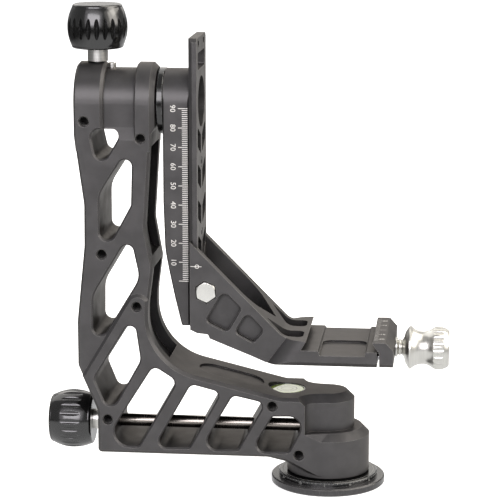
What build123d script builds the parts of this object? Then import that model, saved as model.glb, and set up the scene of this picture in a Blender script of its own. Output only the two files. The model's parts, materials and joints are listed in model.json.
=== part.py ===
from build123d import *
import os
from math import asin, atan2, cos, degrees, radians, sin, sqrt

# A gimbal tripod head that carries a long lens from its side.
# Millimetres. X points right, Y away from the viewer, Z up. The origin is the centre of the
# base plate's underside, on the pan axis. The front of the head faces -Y.
# A profile is a list of corners (x, z, radius): the sharp corner and the radius that rounds it.

# --- running clearances -------------------------------------------------------------------
SHAFT_GAP = 0.03          # radial gap of a shaft in its bearing
SLIDE_GAP = 0.15          # gap between the dovetail rail and what slides on it
TURN_GAP = 0.3            # gap between faces that pass each other
THREAD_GAP = 0.1          # radial gap of a screw in the hole it is threaded into

# --- base plate and pan spindle -----------------------------------------------------------
BASE_R = 30.0
BASE_T = 4.0
BASE_EDGE = 0.6
RING_R = 26.0             # degree ring, outer radius
RING_T = 2.4
RING_EDGE = 0.5
PLUG_R = 9.0              # foot of the spindle, let into the base plate
FLANGE_R = 14.0
SPINDLE_R = 7.5
SPINDLE_NECK_R = 5.0
SPINDLE_TOP = 36.0
TRIPOD_R = 4.0            # wall of the 3/8"-16 tapped hole
TRIPOD_DEPTH = 12.0
BASE_SCREW_PCD_R = 11.5
BASE_SCREW_R = 1.5
BASE_SCREW_HEAD_R = 2.5
BASE_SCREW_HEAD_T = 1.6
BASE_SCREW_SOCKET_R = 1.0
COLLAR_SCREW_R = 3.0
COLLAR_SCREW_HEAD_R = 5.6
COLLAR_SCREW_HEAD_T = 3.0
COLLAR_SCREW_REACH = 12.0
COLLAR_SCREW_SOCKET_R = 2.3
BASE_SCREWS = 4

# --- pan housing and boss -----------------------------------------------------------------
HOUSING_R = 21.7
HOUSING_Z0 = 6.7
HOUSING_Z1 = 26.9
HOUSING_FOOT_EDGE = 0.6
SHOULDER_Z = 30.8         # flat top of the shoulder round the boss
SHOULDER_EDGE = HOUSING_R - 17.9
WEDGE_FOOT_X = -2.5       # the front wedge of the shoulder runs out at this point of the drum's rim
WEDGE_TOP = (1.0, 17.9)   # and at this point of the shoulder's flat top
BOSS_R = 13.8
BOSS_TOP = 50.0
BOSS_CHAMFER = 4.0
BOSS_BORE_R = 8.5
BOSS_BORE_TOP = 40.5
BEAM_END_X = -10.9        # right end of the beam beside the boss
NECK_R = 7.3              # hollow corner between the beam and the boss
PAN_BEARING_R = 14.0
PAN_BEARING_T = 7.0
PAN_BEARINGS_Z = (8.0, 19.0)
SPACER_WALL = 2.0
COLLAR_R = 8.0
COLLAR_Z0 = 26.1

# --- yoke frame ---------------------------------------------------------------------------
UPPER_HALF = 20.0         # half thickness of the upper arm
LOWER_HALF = 21.7         # half thickness of the raised lower part
UPPER_EDGE = 1.2
LOWER_EDGE = 1.7
FOOT_LEFT = -120.0        # left end of the beam, beside the pan lock knob
BEAM_KNEE = (-24.0, 50.0)  # the beam's top slopes up from here
BEAM_CROOK = (-93.4, 66.9)  # to the hollow corner with the upright
FRAME_PROFILE = [
    (-130.7, 224.0, 0), (-130.6, 186.0, 15), (-125.8, 150.0, 25), (-126.0, 128.0, 25),
    (-130.2, 88.0, 15), (-130.2, 64.5, 6), (FOOT_LEFT, 40.6, 8), (FOOT_LEFT, 17.8, 2),
    (-30.0, 17.8, 10), (-21.0, 15.8, 6), (-4.6, 7.1, 4), (LOWER_EDGE, 6.7, 0),
    (LOWER_EDGE, 50.0, 0), (*BEAM_KNEE, 12), (*BEAM_CROOK, 32), (-92.8, 98.0, 25),
    (-90.3, 117.0, 8), (-94.0, 138.0, 20), (-90.8, 187.0, 0), (-89.0, 190.0, 0),
    (-89.0, 224.0, 0)]
# The raised lower part ends at a slanted step that passes round one of the tapped holes.
RAISED_PROFILE = [
    (-134.0, 49.3, 0), (-98.4, 109.1, 6.3), (-88.0, 93.4, 0), (10.0, 93.4, 0),
    (10.0, 0.0, 0), (-134.0, 0.0, 0)]
WINDOW_EDGE = 0.95        # chamfer round each window
UPPER_WINDOWS = [
    [(-123.8, 190.2, 5), (-103.1, 190.1, 4.5), (-118.2, 164.6, 4.8)],
    [(-99.2, 186.5, 4.5), (-100.4, 149.7, 2.5), (-118.8, 115.8, 5), (-118.7, 155.7, 15)],
    [(-101.7, 137.5, 4.4), (-96.2, 111.6, 12), (-123.2, 67.2, 4.9), (-122.7, 102.4, 15)]]
LOWER_WINDOWS = [
    [(-99.7, 95.1, 4.1), (-95.9, 68.1, 8), (-113.6, 36.3, 5), (-122.5, 58.3, 5)],
    [(-90.4, 66.8, 4.5), (-76.5, 57.9, 5.2), (-97.5, 20.9, 2.5), (-119.7, 20.2, 9)],
    [(-70.9, 57.2, 4.5), (-53.3, 52.8, 4.1), (-70.8, 20.9, 3), (-91.8, 20.2, 4.7)],
    [(-49.0, 51.8, 4.3), (-30.2, 47.7, 4.1), (-45.3, 20.5, 3), (-67.4, 19.8, 6)],
    [(-28.3, 40.8, 2.5), (-7.6, 41.5, 7), (-18.5, 20.2, 3), (-40.9, 19.5, 5.2)]]
# Long pockets in the inner face of the upright, behind the swing arm.
POCKET_HALF = 13.5
UPPER_POCKET = [
    (-85.0, 180.0, 0), (-96.0, 180.0, 3), (-98.4, 139.0, 20), (-95.6, 122.5, 3), (-85.0, 122.5, 0)]
LOWER_POCKET = [
    (-85.0, 116.5, 0), (-95.2, 116.5, 3), (-97.3, 98.0, 15), (-97.9, 63.4, 34), (-60.0, 54.0, 0),
    (-60.0, 92.0, 0)]
LOWER_POCKET_END_X = -82.5
# Shallow pocket in the sloping top of the beam.
PLATE_POCKET_X0 = -68.5
PLATE_POCKET_X1 = -34.0
PLATE_POCKET_WIDTH = 20.0
PLATE_POCKET_DEPTH = 0.9
# Tapped 1/4"-20 accessory holes, both sides.
HOLE_R = 2.65
HOLE_DEPTH = 10.0
HOLE_MOUTH_R = 3.0
UPPER_HOLES = [(-125.2, 193.2), (-96.1, 184.7), (-116.9, 124.0)]
LOWER_HOLES = [(-98.6, 97.0), (-114.6, 36.0), (-27.9, 45.6), (-13.9, 19.5)]

# --- head of the yoke, round the tilt axis -------------------------------------------------
TILT_Z = 202.0
HEAD_LEFT = -130.7
HEAD_RIGHT = -89.0
HEAD_R = 20.0
HEAD_WAIST_R = 17.0
HEAD_BOTTOM = 184.0
HEAD_RAMP = 6.0           # height of the slope from the frame's face to the waist
BAND_1_RIGHT = -115.5
BAND_2_LEFT = -99.4
BAND_2_RIGHT = -91.5
BAND_EDGE = 1.5
BAND_2_EDGE = 0.8
AXLE_R = 6.0
AXLE_LEFT = -125.0
AXLE_BORE_R = 7.7
TILT_BEARING_R = 10.5
TILT_BEARING_T = 5.0
TILT_BEARINGS_X = (-113.0, -94.3)
TOP_SCREW_X = -113.3
TOP_SCREW_R = 2.0
TOP_SCREW_SHANK_R = 1.0
TOP_SCREW_SEAT = 0.3      # depth of the spot face under the screw's head
TOP_SCREW_HEAD_T = 2.9
TOP_SCREW_SOCKET_R = 1.1
TOP_SCREW_REACH = 4.2

# --- bubble level -------------------------------------------------------------------------
BUBBLE_X = -22.0
BEZEL_R = 10.0
BEZEL_FLOOR = 46.6
BEZEL_TOP = 49.7
VIAL_R = 9.2
VIAL_FLOOR = 47.2
VIAL_TOP = 49.6
AIR_R = 2.1
AIR_T = 1.0
AIR_DEPTH = 0.6           # cover of fluid over the air bubble

# --- lock knobs ---------------------------------------------------------------------------
KNOB_LENGTH = 22.7
KNOB_R = 15.5
KNOB_NECK_R = 13.5        # at the end towards the head
KNOB_END_R = 12.9         # at the free end
KNOB_ROUND = 1.4
KNOB_FLUTES = 22
KNOB_FLUTE_R = 1.8
KNOB_FLUTE_DEPTH = 0.65
KNOB_SOCKET = 16.0        # depth of the hole that takes the stud or the rod
TILT_KNOB_X = -120.8
TILT_KNOB_Z = 229.0
TILT_SLEEVE_R = 5.3
TILT_STUD_R = 3.0
TILT_SHOE_T = 6.0
PAN_KNOB_Z = 30.0
PAN_KNOB_X = -125.6
PAN_SLEEVE_R = 5.3
ROD_R = 3.3
ROD_BORE_R = 3.4
ROD_END_X = -11.3
ROD_HOLE_X = -103.0
ROD_HOLE_R = 0.7

# --- swing arm and rail -------------------------------------------------------------------
ARM_HALF = 17.0
ARM_EDGE = 0.8
ARM_LEFT = -84.9
ARM_RIGHT = -71.4
ARM_BOTTOM = 86.5
ARM_PROFILE = [
    (ARM_LEFT, 222.0, 0), (ARM_LEFT, 152.0, 40), (-84.1, 126.5, 40), (-82.1, 115.6, 20),
    (-79.1, 101.1, 20), (-75.6, ARM_BOTTOM, 1), (ARM_RIGHT, ARM_BOTTOM, 0), (ARM_RIGHT, 222.0, 0)]
BEARING_RING_R = 17.2
BEARING_RING_LEFT = -88.4
RAIL_HALF = 19.0
RAIL_LEFT = ARM_RIGHT
RAIL_T = 4.4
RAIL_RIGHT = RAIL_LEFT + RAIL_T
RAIL_BEVEL = 2.0
RAIL_BEVEL_X = RAIL_LEFT + RAIL_BEVEL
RAIL_BOTTOM = 86.5
RAIL_TOP = 236.0
RAIL_TOP_EDGE = 2.0
LATTICE_INNER = 2.2       # half width of the rib down the middle
LATTICE_OUTER = 15.3
LATTICE_PITCH = 18.75
LATTICE_RISE = 6.0        # the cross ribs form a V, this much higher at their outer ends
LATTICE_WINDOW = 10.3     # height of a window
LATTICE_TOP = 174.5       # foot of the uppermost pair of windows, beside the middle rib
LATTICE_COUNT = 5
LATTICE_DEPTH = 5.0       # depth of the lattice recesses in the arm behind the rail
RAIL_SLOT_HALF_Y = 13.7
RAIL_SLOT_Z = (219.4, 228.2)
RAIL_NOTCH_Y = 10.3
RAIL_NOTCH_HALF_Y = 2.4
RAIL_NOTCH_Z = (231.1, 234.3)
RAIL_SLOT_CORNER = 1.2
RAIL_SCREW_PLACES = [(0.0, 170.3), (0.0, 132.8), (-13.5, 92.5), (13.5, 92.5)]
RAIL_SCREW_R = 1.5
RAIL_SCREW_HEAD_R = 2.75
RAIL_SCREW_HEAD_T = 2.4
RAIL_SCREW_SINK = 0.2     # the heads lie this far under the rail's face
RAIL_SCREW_SOCKET_R = 1.4
RAIL_SCREW_REACH = 4.5    # into the arm
HUB_HOLE_R = 13.3
HUB_HOLE_FLOOR = -77.5
HUB_BOLT_R = 6.5
HUB_BOLT_SHANK_R = 4.0
HUB_BOLT_HEAD_T = 5.5
HUB_BOLT_SOCKET_R = 3.4
HUB_BOLT_END = -96.0
HUB_WASHER_R = 11.0
HUB_WASHER_T = 1.5

# --- cradle on the rail -------------------------------------------------------------------
CHEEK_HALF = 22.0
JAW_HALF = 28.5
CRADLE_LEFT = -70.6
JAW_BOTTOM = 69.2
CRADLE_PROFILE = [
    (CRADLE_LEFT, 85.6, 0), (CRADLE_LEFT, 131.6, 0), (-22.0, 82.5, 8), (-10.0, 82.3, 0),
    (-12.7, 77.6, 0), (-4.0, 77.6, 0), (-3.2, 76.4, 0), (20.3, 76.4, 0), (21.1, 77.5, 0),
    (26.4, 77.5, 0), (26.4, JAW_BOTTOM, 0), (-31.0, JAW_BOTTOM, 6), (-37.5, 72.0, 30), (-60.5, 81.2, 1),
    (-61.3, 83.3, 1), (-67.1, 83.9, 4)]
FLARE_START = (-26.4, 74.7)    # a point on the slanted crease where the cheeks widen to the jaw
FLARE_ANGLE = 53.5
FLARE_LENGTH = 11.0
JAW_CHAMFER = 2.4
OPENING_HALF = 16.8
OPENING_PROFILE = [
    (-72.0, 142.0, 0), (-72.0, 93.0, 0), (-62.0, 88.6, 4), (-36.0, 77.6, 3), (-27.0, 87.0, 2),
    (-27.0, 142.0, 0)]
OPENING_PLAN = [
    (-80.0, -OPENING_HALF, 0), (-39.0, -OPENING_HALF, 12), (-27.6, 0.0, 1.5), (-39.0, OPENING_HALF, 12),
    (-80.0, OPENING_HALF, 0)]
RIB_SLOT_PLAN = [(-31.8, 16.6, 0.8), (-22.5, 5.6, 6), (-12.3, 4.4, 3.6), (-12.3, 19.4, 3.6)]
RIB_SLOT_FLOOR = 79.0
SIDE_POCKETS = [
    [(-53.4, 107.6, 3.6), (-43.3, 97.5, 2.8), (-51.0, 84.1, 3.2), (-63.5, 90.1, 3.0)],
    [(-41.2, 96.5, 3.2), (-31.5, 86.0, 2.8), (-37.6, 78.7, 2.8), (-48.3, 84.4, 3.2)]]
SIDE_POCKET_DEPTH = 3.0
SIDE_POCKET_EDGE = 0.7
SEAT_POCKET_HALF_X = 11.6
SEAT_POCKET_X = 8.6
SEAT_POCKET_FLOOR = 75.2
SEAT_POCKET_REAR = 1.0
HEIGHT_BOLT = (RAIL_RIGHT + 4.6, 105.7)
HEIGHT_BOLT_TURN = 36.0        # turn of the hexagon head, in degrees
HEIGHT_BOLT_AF = 9.6
HEIGHT_BOLT_R = 3.0
HEIGHT_BOLT_SEAT_Y = -20.0     # floor of the recess that holds the bolt's head
HEIGHT_BOLT_FRONT_Y = -22.4
HEIGHT_BOLT_RECESS_GAP = 0.5
HEIGHT_KNOB_Y = 23.4
HEIGHT_KNOB_LENGTH = 14.0
HEIGHT_KNOB_R = 9.0
HEIGHT_KNOB_END_R = 7.6
HEIGHT_KNOB_EDGE = 1.0
HEIGHT_KNOB_FLUTES = 12
HEIGHT_KNOB_FLUTE_R = 2.6
HEIGHT_KNOB_FLUTE_DEPTH = 0.7
HEIGHT_INSERT_R = 4.2
HEIGHT_INSERT_T = 9.0
HEIGHT_WASHER_R = 6.0
HEIGHT_BOLT_REACH = 8.0        # how far the bolt goes into the knob
GIB_T = 1.5
GIB_Z0 = 92.0
GIB_Z1 = 124.0

# --- moving jaw and its knob --------------------------------------------------------------
MOVING_JAW_FACE = 34.8     # the outer face, which the knob bears on
MOVING_JAW_PROFILE = [
    (23.8, 82.6, 0.4), (30.9, 82.7, 0.4), (MOVING_JAW_FACE, 78.4, 0.4), (MOVING_JAW_FACE, 69.4, 0.4),
    (27.6, 69.4, 0.3),
    (27.6, 77.9, 0.0), (26.9, 77.9, 0.2)]
CLAMP_Z = 73.7
GUIDE_PIN_Y = 18.0
GUIDE_PIN_R = 1.5
GUIDE_PIN_Z = CLAMP_Z - 1
GUIDE_PIN_X0 = 14.0
GUIDE_PIN_X1 = 32.0
JAW_PULL_BACK = 1.0       # travel of the jaw towards the seat
CLAMP_SCREW_R = 2.5
CLAMP_SCREW_END = 22.2
CLAMP_SCREW_REACH = 12.0  # into the knob
CLAMP_WASHER_R = 5.2
CLAMP_KNOB_NECK_R = 4.2
CLAMP_KNOB_FOOT_R = 3.6
CLAMP_KNOB_R = 11.3
CLAMP_KNOB_SHOULDER_R = 10.8
CLAMP_KNOB_WAIST_R = 8.6
CLAMP_KNOB_END_R = 9.5
CLAMP_KNOB_X0 = 36.1
CLAMP_KNOB_RIM_X = 42.2
CLAMP_KNOB_RIM_T = 0.9
CLAMP_KNOB_WAIST_X = 49.2
CLAMP_KNOB_GRIP_X = 57.6
CLAMP_KNOB_GRIP_HALF = 2.8
CLAMP_KNOB_X1 = 63.0
CLAMP_FLUTES = 22
CLAMP_FLUTE_R = 2.2
CLAMP_FLUTE_DEPTH = 0.55


# --- helpers ------------------------------------------------------------------------------

def profile_face(corners, plane=Plane.XZ):
    """A face bounded by straight lines whose corners are rounded by their own radii."""
    points = [(across, up) for across, up, radius in corners]
    radii = [radius for across, up, radius in corners]
    outline = FilletPolyline(*points, radius=radii, close=True)
    return plane * make_face(outline.edges())


def bevelled_slab(face, half, edge):
    """A slab centred on Y = 0 whose front and back edges are chamfered by `edge`."""
    core = extrude(face, half - edge, both=True)
    front_cap = extrude(Pos(0, edge - half, 0) * face, edge, dir=(0, -1, 0), taper=45)
    return core + front_cap + mirror(front_cap, Plane.XZ)


def window_cutter(corners, half, edge):
    """A through cutter whose two mouths flare out by `edge` at the faces Y = -half and half."""
    mouth = extrude(Pos(0, -half, 0) * profile_face(corners), edge, dir=(0, 1, 0), taper=45)
    throat_face = mouth.faces().sort_by(Axis.Y)[-1]
    throat = extrude(throat_face, 2 * (half - edge), dir=(0, 1, 0))
    return mouth + throat + mirror(mouth, Plane.XZ)


def pocket_cutter(corners, face_y, depth, edge):
    """A blind cutter going in from the front face, with a chamfered rim."""
    mouth = extrude(Pos(0, face_y, 0) * profile_face(corners), edge, dir=(0, 1, 0), taper=45)
    throat_face = mouth.faces().sort_by(Axis.Y)[-1]
    return mouth + extrude(throat_face, depth - edge, dir=(0, 1, 0))


def rod_z(radius, z0, z1, x=0.0, y=0.0):
    """A round bar along Z."""
    return Pos(x, y, z0) * Cylinder(radius, z1 - z0, align=(Align.CENTER, Align.CENTER, Align.MIN))


def rod_x(radius, x0, x1, y=0.0, z=0.0):
    """A round bar along X."""
    return Pos(x0, y, z) * Rot(0, 90, 0) * rod_z(radius, 0, x1 - x0)


def rod_y(radius, y0, y1, x=0.0, z=0.0):
    """A round bar along Y."""
    return Pos(x, y0, z) * Rot(-90, 0, 0) * rod_z(radius, 0, y1 - y0)


def block(x0, x1, y0, y1, z0, z1):
    """A plain block between two corners."""
    return Pos(x0, y0, z0) * Box(x1 - x0, y1 - y0, z1 - z0, align=(Align.MIN, Align.MIN, Align.MIN))


def tube_z(outer, inner, z0, z1):
    """A round tube along Z, about the pan axis."""
    return rod_z(outer, z0, z1) - rod_z(inner, z0 - 1, z1 + 1)


def tube_x(outer, inner, x0, x1, z):
    """A round tube along X at height z."""
    return rod_x(outer, x0, x1, z=z) - rod_x(inner, x0 - 1, x1 + 1, z=z)


def cone_z(radius0, radius1, height):
    """A cone along Z that stands on z = 0."""
    return Cone(radius0, radius1, height, align=(Align.CENTER, Align.CENTER, Align.MIN))


def top_rims(solid, axis=Axis.Z):
    """The circular edges at the far end of a solid along an axis."""
    return solid.edges().filter_by(GeomType.CIRCLE).group_by(axis)[-1]


def slanted_cut(corner_a, corner_b, corner_c):
    """All that lies above the plane through three corners, as a large block."""
    origin = Vector(*corner_a)
    along = Vector(*corner_b) - origin
    up = along.cross(Vector(*corner_c) - origin)
    if up.Z < 0:
        up = -up
    return Plane(origin=origin, x_dir=along, z_dir=up) * Pos(0, 0, 50) * Box(200, 200, 100)


def arched_face(radius, x):
    """The yoke head's section at x: a half circle over straight sides."""
    bottom = HEAD_BOTTOM - HEAD_RAMP - TILT_Z
    side = Polyline((-radius, 0), (-radius, bottom), (radius, bottom), (radius, 0))
    top = ThreePointArc((radius, 0), (0, radius), (-radius, 0))
    return Plane.YZ.offset(x) * Pos(0, TILT_Z) * make_face(side.edges() + top.edges())


def arched_bar(x0, x1, radius0, radius1):
    """A stretch of the yoke head between two sections."""
    if radius0 == radius1:
        return extrude(arched_face(radius0, x0), x1 - x0, dir=(1, 0, 0))
    return loft([arched_face(radius0, x0), arched_face(radius1, x1)])


def fluted_knob(outline, flutes, flute_r, flute_depth, grip_r, z0, z1):
    """A turned knob along Z with lens-shaped flutes where it is widest, between z0 and z1."""
    body = revolve(outline, Axis.Z)
    for number in range(flutes):
        turn = Rot(0, 0, 360 * number / flutes)
        centre = grip_r + flute_r - flute_depth
        body -= turn * rod_z(flute_r, z0, z1, x=centre)
    return body


# --- base ---------------------------------------------------------------------------------

def base_screw_places():
    return PolarLocations(BASE_SCREW_PCD_R, BASE_SCREWS, start_angle=45)


def base_plate():
    plate = rod_z(BASE_R, 0, BASE_T)
    plate = chamfer(plate.edges().filter_by(GeomType.CIRCLE), BASE_EDGE)
    plate -= rod_z(PLUG_R, -1, BASE_T + 1)
    for place in base_screw_places():
        plate -= place * rod_z(BASE_SCREW_R + THREAD_GAP, -1, BASE_T + 1)
        plate -= place * cone_z(BASE_SCREW_HEAD_R, BASE_SCREW_R, BASE_SCREW_HEAD_T)
    return plate


def base_screws():
    """Countersunk screws that hold the plate to the spindle's flange."""
    screws = []
    for place in base_screw_places():
        head = cone_z(BASE_SCREW_HEAD_R, BASE_SCREW_R, BASE_SCREW_HEAD_T)
        socket = extrude(RegularPolygon(BASE_SCREW_SOCKET_R, 6), 1.0)
        shank = rod_z(BASE_SCREW_R, BASE_SCREW_HEAD_T, BASE_T + RING_T - 0.4)
        screws.append(place * (head + shank - socket))
    return screws


def pan_spindle():
    flange_top = BASE_T + RING_T
    spindle = rod_z(PLUG_R, 0, BASE_T) + rod_z(FLANGE_R, BASE_T, flange_top)
    spindle += rod_z(SPINDLE_R - SHAFT_GAP, flange_top, COLLAR_Z0)
    spindle += rod_z(SPINDLE_NECK_R, COLLAR_Z0, SPINDLE_TOP)
    spindle -= rod_z(TRIPOD_R, -1, TRIPOD_DEPTH)
    spindle -= rod_z(COLLAR_SCREW_R + THREAD_GAP, SPINDLE_TOP - COLLAR_SCREW_REACH - 0.5, SPINDLE_TOP + 1)
    for place in base_screw_places():
        spindle -= place * rod_z(BASE_SCREW_R + THREAD_GAP / 2, BASE_T - 1, flange_top - 0.3)
    return spindle


def degree_ring():
    ring = rod_z(RING_R, BASE_T, BASE_T + RING_T)
    ring = chamfer(top_rims(ring), RING_EDGE)
    return ring - rod_z(FLANGE_R + THREAD_GAP, 0, 10)


def pan_shim():
    return tube_z(SPINDLE_R + 2.0, SPINDLE_R, BASE_T + RING_T, PAN_BEARINGS_Z[0] - 0.1)


def pan_collar():
    return tube_z(COLLAR_R, SPINDLE_NECK_R, COLLAR_Z0, SPINDLE_TOP)


def collar_screw():
    """Screw on top of the spindle that holds the collar down."""
    head = rod_z(COLLAR_SCREW_HEAD_R, SPINDLE_TOP, SPINDLE_TOP + COLLAR_SCREW_HEAD_T)
    socket_floor = SPINDLE_TOP + COLLAR_SCREW_HEAD_T / 2
    socket = extrude(Pos(0, 0, socket_floor) * RegularPolygon(COLLAR_SCREW_SOCKET_R, 6), 3)
    return head - socket + rod_z(COLLAR_SCREW_R, SPINDLE_TOP - COLLAR_SCREW_REACH, SPINDLE_TOP)


# --- yoke ---------------------------------------------------------------------------------

def neck_face():
    """Plan of the boss with the two hollow corners that join it to the beam's end."""
    side_y = LOWER_HALF
    centre_x = BEAM_END_X + NECK_R
    mouth_y = side_y - NECK_R
    middle = NECK_R * sqrt(0.5)
    middle_x = centre_x - middle
    rear_arc = ThreePointArc((BEAM_END_X, side_y), (middle_x, side_y - middle), (centre_x, mouth_y))
    to_boss = Line((centre_x, mouth_y), (0, BOSS_R))
    round_end = ThreePointArc((0, BOSS_R), (BOSS_R, 0), (0, -BOSS_R))
    from_boss = Line((0, -BOSS_R), (centre_x, -mouth_y))
    front_arc = ThreePointArc((centre_x, -mouth_y), (middle_x, middle - side_y), (BEAM_END_X, -side_y))
    far_y = side_y + 12
    back = Polyline((BEAM_END_X, -side_y), (BEAM_END_X, -far_y), (-40, -far_y), (-40, far_y),
                    (BEAM_END_X, far_y), (BEAM_END_X, side_y))
    right_side = rear_arc.edges() + to_boss.edges() + round_end.edges()
    return make_face(right_side + from_boss.edges() + front_arc.edges() + back.edges())


def housing():
    """The drum round the pan bearings and its chamfered shoulder."""
    drum = rod_z(HOUSING_R, HOUSING_Z0, HOUSING_Z1)
    drum = chamfer(drum.edges().filter_by(GeomType.CIRCLE).group_by(Axis.Z)[0], HOUSING_FOOT_EDGE)
    shoulder = Pos(0, 0, HOUSING_Z1) * cone_z(HOUSING_R, HOUSING_R - SHOULDER_EDGE, SHOULDER_Z - HOUSING_Z1)
    wedge = block(BEAM_END_X - 1, WEDGE_TOP[0], -HOUSING_R, 0, HOUSING_Z1 - 1, SHOULDER_Z)
    wedge -= slanted_cut((BEAM_END_X, -HOUSING_R, SHOULDER_Z), (WEDGE_FOOT_X, -HOUSING_R, HOUSING_Z1),
                         (WEDGE_TOP[0], -WEDGE_TOP[1], SHOULDER_Z))
    wedge &= rod_z(HOUSING_R, 0, SHOULDER_Z) + block(BEAM_END_X - 1, 0, -HOUSING_R, 0, 0, SHOULDER_Z)
    return drum + shoulder + wedge + mirror(wedge, Plane.XZ)


def boss():
    """The boss over the housing, with a chamfer that runs on round the beam's end."""
    top = BOSS_TOP - BOSS_CHAMFER
    stem = extrude(Pos(0, 0, HOUSING_Z1 - 2) * neck_face(), top - HOUSING_Z1 + 2, dir=(0, 0, 1))
    shrunk_below = extrude(neck_face(), BOSS_CHAMFER, dir=(0, 0, -1), taper=45)
    cap = Pos(0, 0, top) * mirror(shrunk_below, Plane.XY)
    return stem + cap


def head():
    """The rounded head round the tilt axis: two bands with a narrower waist between them."""
    left = arched_bar(HEAD_LEFT, HEAD_LEFT + UPPER_EDGE, HEAD_R - UPPER_EDGE, HEAD_R)
    band_1 = arched_bar(HEAD_LEFT + UPPER_EDGE, BAND_1_RIGHT - BAND_EDGE, HEAD_R, HEAD_R)
    band_1_edge = arched_bar(BAND_1_RIGHT - BAND_EDGE, BAND_1_RIGHT, HEAD_R, HEAD_R - BAND_EDGE)
    waist = arched_bar(BAND_1_RIGHT, BAND_2_LEFT, HEAD_WAIST_R, HEAD_WAIST_R)
    band_2_edge = arched_bar(BAND_2_LEFT, BAND_2_LEFT + BAND_2_EDGE, HEAD_R - BAND_2_EDGE, HEAD_R)
    band_2 = arched_bar(BAND_2_LEFT + BAND_2_EDGE, BAND_2_RIGHT, HEAD_R, HEAD_R)
    right_edge = HEAD_RIGHT - BAND_2_RIGHT
    right = arched_bar(BAND_2_RIGHT, HEAD_RIGHT, HEAD_R, HEAD_R - right_edge)
    whole = left + band_1 + band_1_edge + waist + band_2_edge + band_2 + right
    ramp_top = HEAD_BOTTOM + HEAD_RAMP
    ramp_corners = [(HEAD_WAIST_R, ramp_top, 0), (HEAD_R, HEAD_BOTTOM, 0), (-HEAD_R, HEAD_BOTTOM, 0),
                    (-HEAD_WAIST_R, ramp_top, 0)]
    ramp = extrude(Pos(BAND_1_RIGHT - BAND_EDGE, 0, 0) * profile_face(ramp_corners, Plane.YZ),
                   BAND_2_LEFT - BAND_1_RIGHT + BAND_EDGE + BAND_2_EDGE, dir=(1, 0, 0))
    return whole + ramp


def tilt_bores():
    """Bearing seat, axle bore and the brake hole under the tilt knob."""
    bores = rod_x(TILT_BEARING_R, TILT_BEARINGS_X[0], HEAD_RIGHT + 1, z=TILT_Z)
    bores += rod_x(AXLE_BORE_R, AXLE_LEFT - 0.6, TILT_BEARINGS_X[0] + 1, z=TILT_Z)
    bores += rod_z(TILT_STUD_R + THREAD_GAP, TILT_Z, TILT_Z + HEAD_R + 1, x=TILT_KNOB_X)
    return bores


def pan_bores():
    """Bearing seat, collar room and the long bore for the pan lock rod."""
    bores = rod_z(PAN_BEARING_R + 0.01, 0, COLLAR_Z0)
    bores += rod_z(BOSS_BORE_R, COLLAR_Z0 - 1, BOSS_BORE_TOP)
    bores += rod_x(ROD_BORE_R, -125, -BOSS_BORE_R / 2, z=PAN_KNOB_Z)
    return bores


def accessory_holes():
    """Tapped holes with small countersinks in both faces of the frame."""
    cutters = []
    for places, half in ((UPPER_HOLES, UPPER_HALF), (LOWER_HOLES, LOWER_HALF)):
        for x, z in places:
            bore = rod_y(HOLE_R, -half - 1, HOLE_DEPTH - half, x=x, z=z)
            sink = Pos(x, -half, z) * Rot(-90, 0, 0) * cone_z(HOLE_MOUTH_R, HOLE_R, HOLE_MOUTH_R - HOLE_R)
            cutters += [bore + sink, mirror(bore + sink, Plane.XZ)]
    return cutters


def plate_pocket():
    """Shallow stadium pocket in the sloping top of the beam."""
    knee_x, knee_z = BEAM_KNEE
    crook_x, crook_z = BEAM_CROOK
    slope = (crook_z - knee_z) / (knee_x - crook_x)
    tilt = degrees(atan2(slope, 1))
    middle_x = (PLATE_POCKET_X0 + PLATE_POCKET_X1) / 2
    middle_z = knee_z + slope * (knee_x - middle_x)
    length = (PLATE_POCKET_X1 - PLATE_POCKET_X0) / cos(radians(tilt))
    outline = RectangleRounded(length, PLATE_POCKET_WIDTH, PLATE_POCKET_WIDTH / 2 - 0.5)
    return Pos(middle_x, 0, middle_z) * Rot(0, tilt, 0) * Pos(0, 0, -PLATE_POCKET_DEPTH) * extrude(outline, 4)


def yoke_frame():
    whole_face = profile_face(FRAME_PROFILE)
    slab = bevelled_slab(whole_face, UPPER_HALF, UPPER_EDGE)
    slab -= block(-140, -80, -30, 30, HEAD_BOTTOM, 230)
    raised_face = (whole_face & profile_face(RAISED_PROFILE)).faces()[0]
    frame = slab + bevelled_slab(raised_face, LOWER_HALF, LOWER_EDGE)
    frame -= block(BEAM_END_X, 10, -30, 30, HOUSING_Z1, 60)
    frame += housing()
    solid_boss = boss()
    frame += solid_boss & block(BEAM_END_X - 1, 20, -LOWER_HALF, LOWER_HALF, HOUSING_Z1 - 2, 60)
    frame -= block(BEAM_END_X - BOSS_CHAMFER - 1, 0, -30, 30, BOSS_TOP - BOSS_CHAMFER, 60) - solid_boss
    frame += head() & extrude(whole_face, HEAD_R + 1, both=True)
    for corners in UPPER_WINDOWS:
        frame -= window_cutter(corners, UPPER_HALF, WINDOW_EDGE)
    for corners in LOWER_WINDOWS:
        frame -= window_cutter(corners, LOWER_HALF, WINDOW_EDGE)
    frame -= extrude(profile_face(UPPER_POCKET), POCKET_HALF, both=True)
    lower_pocket = extrude(profile_face(LOWER_POCKET), POCKET_HALF, both=True)
    frame -= lower_pocket & block(-120, LOWER_POCKET_END_X, -30, 30, 0, 150)
    frame -= plate_pocket()
    frame -= rod_z(BEZEL_R, BEZEL_FLOOR, BOSS_TOP + 10, x=BUBBLE_X)
    for cutter in accessory_holes():
        frame -= cutter
    frame -= tilt_bores()
    frame -= pan_bores()
    frame -= top_screw_hole()
    return frame


def pan_bearings():
    return [tube_z(PAN_BEARING_R, SPINDLE_R, z, z + PAN_BEARING_T) for z in PAN_BEARINGS_Z]


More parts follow.
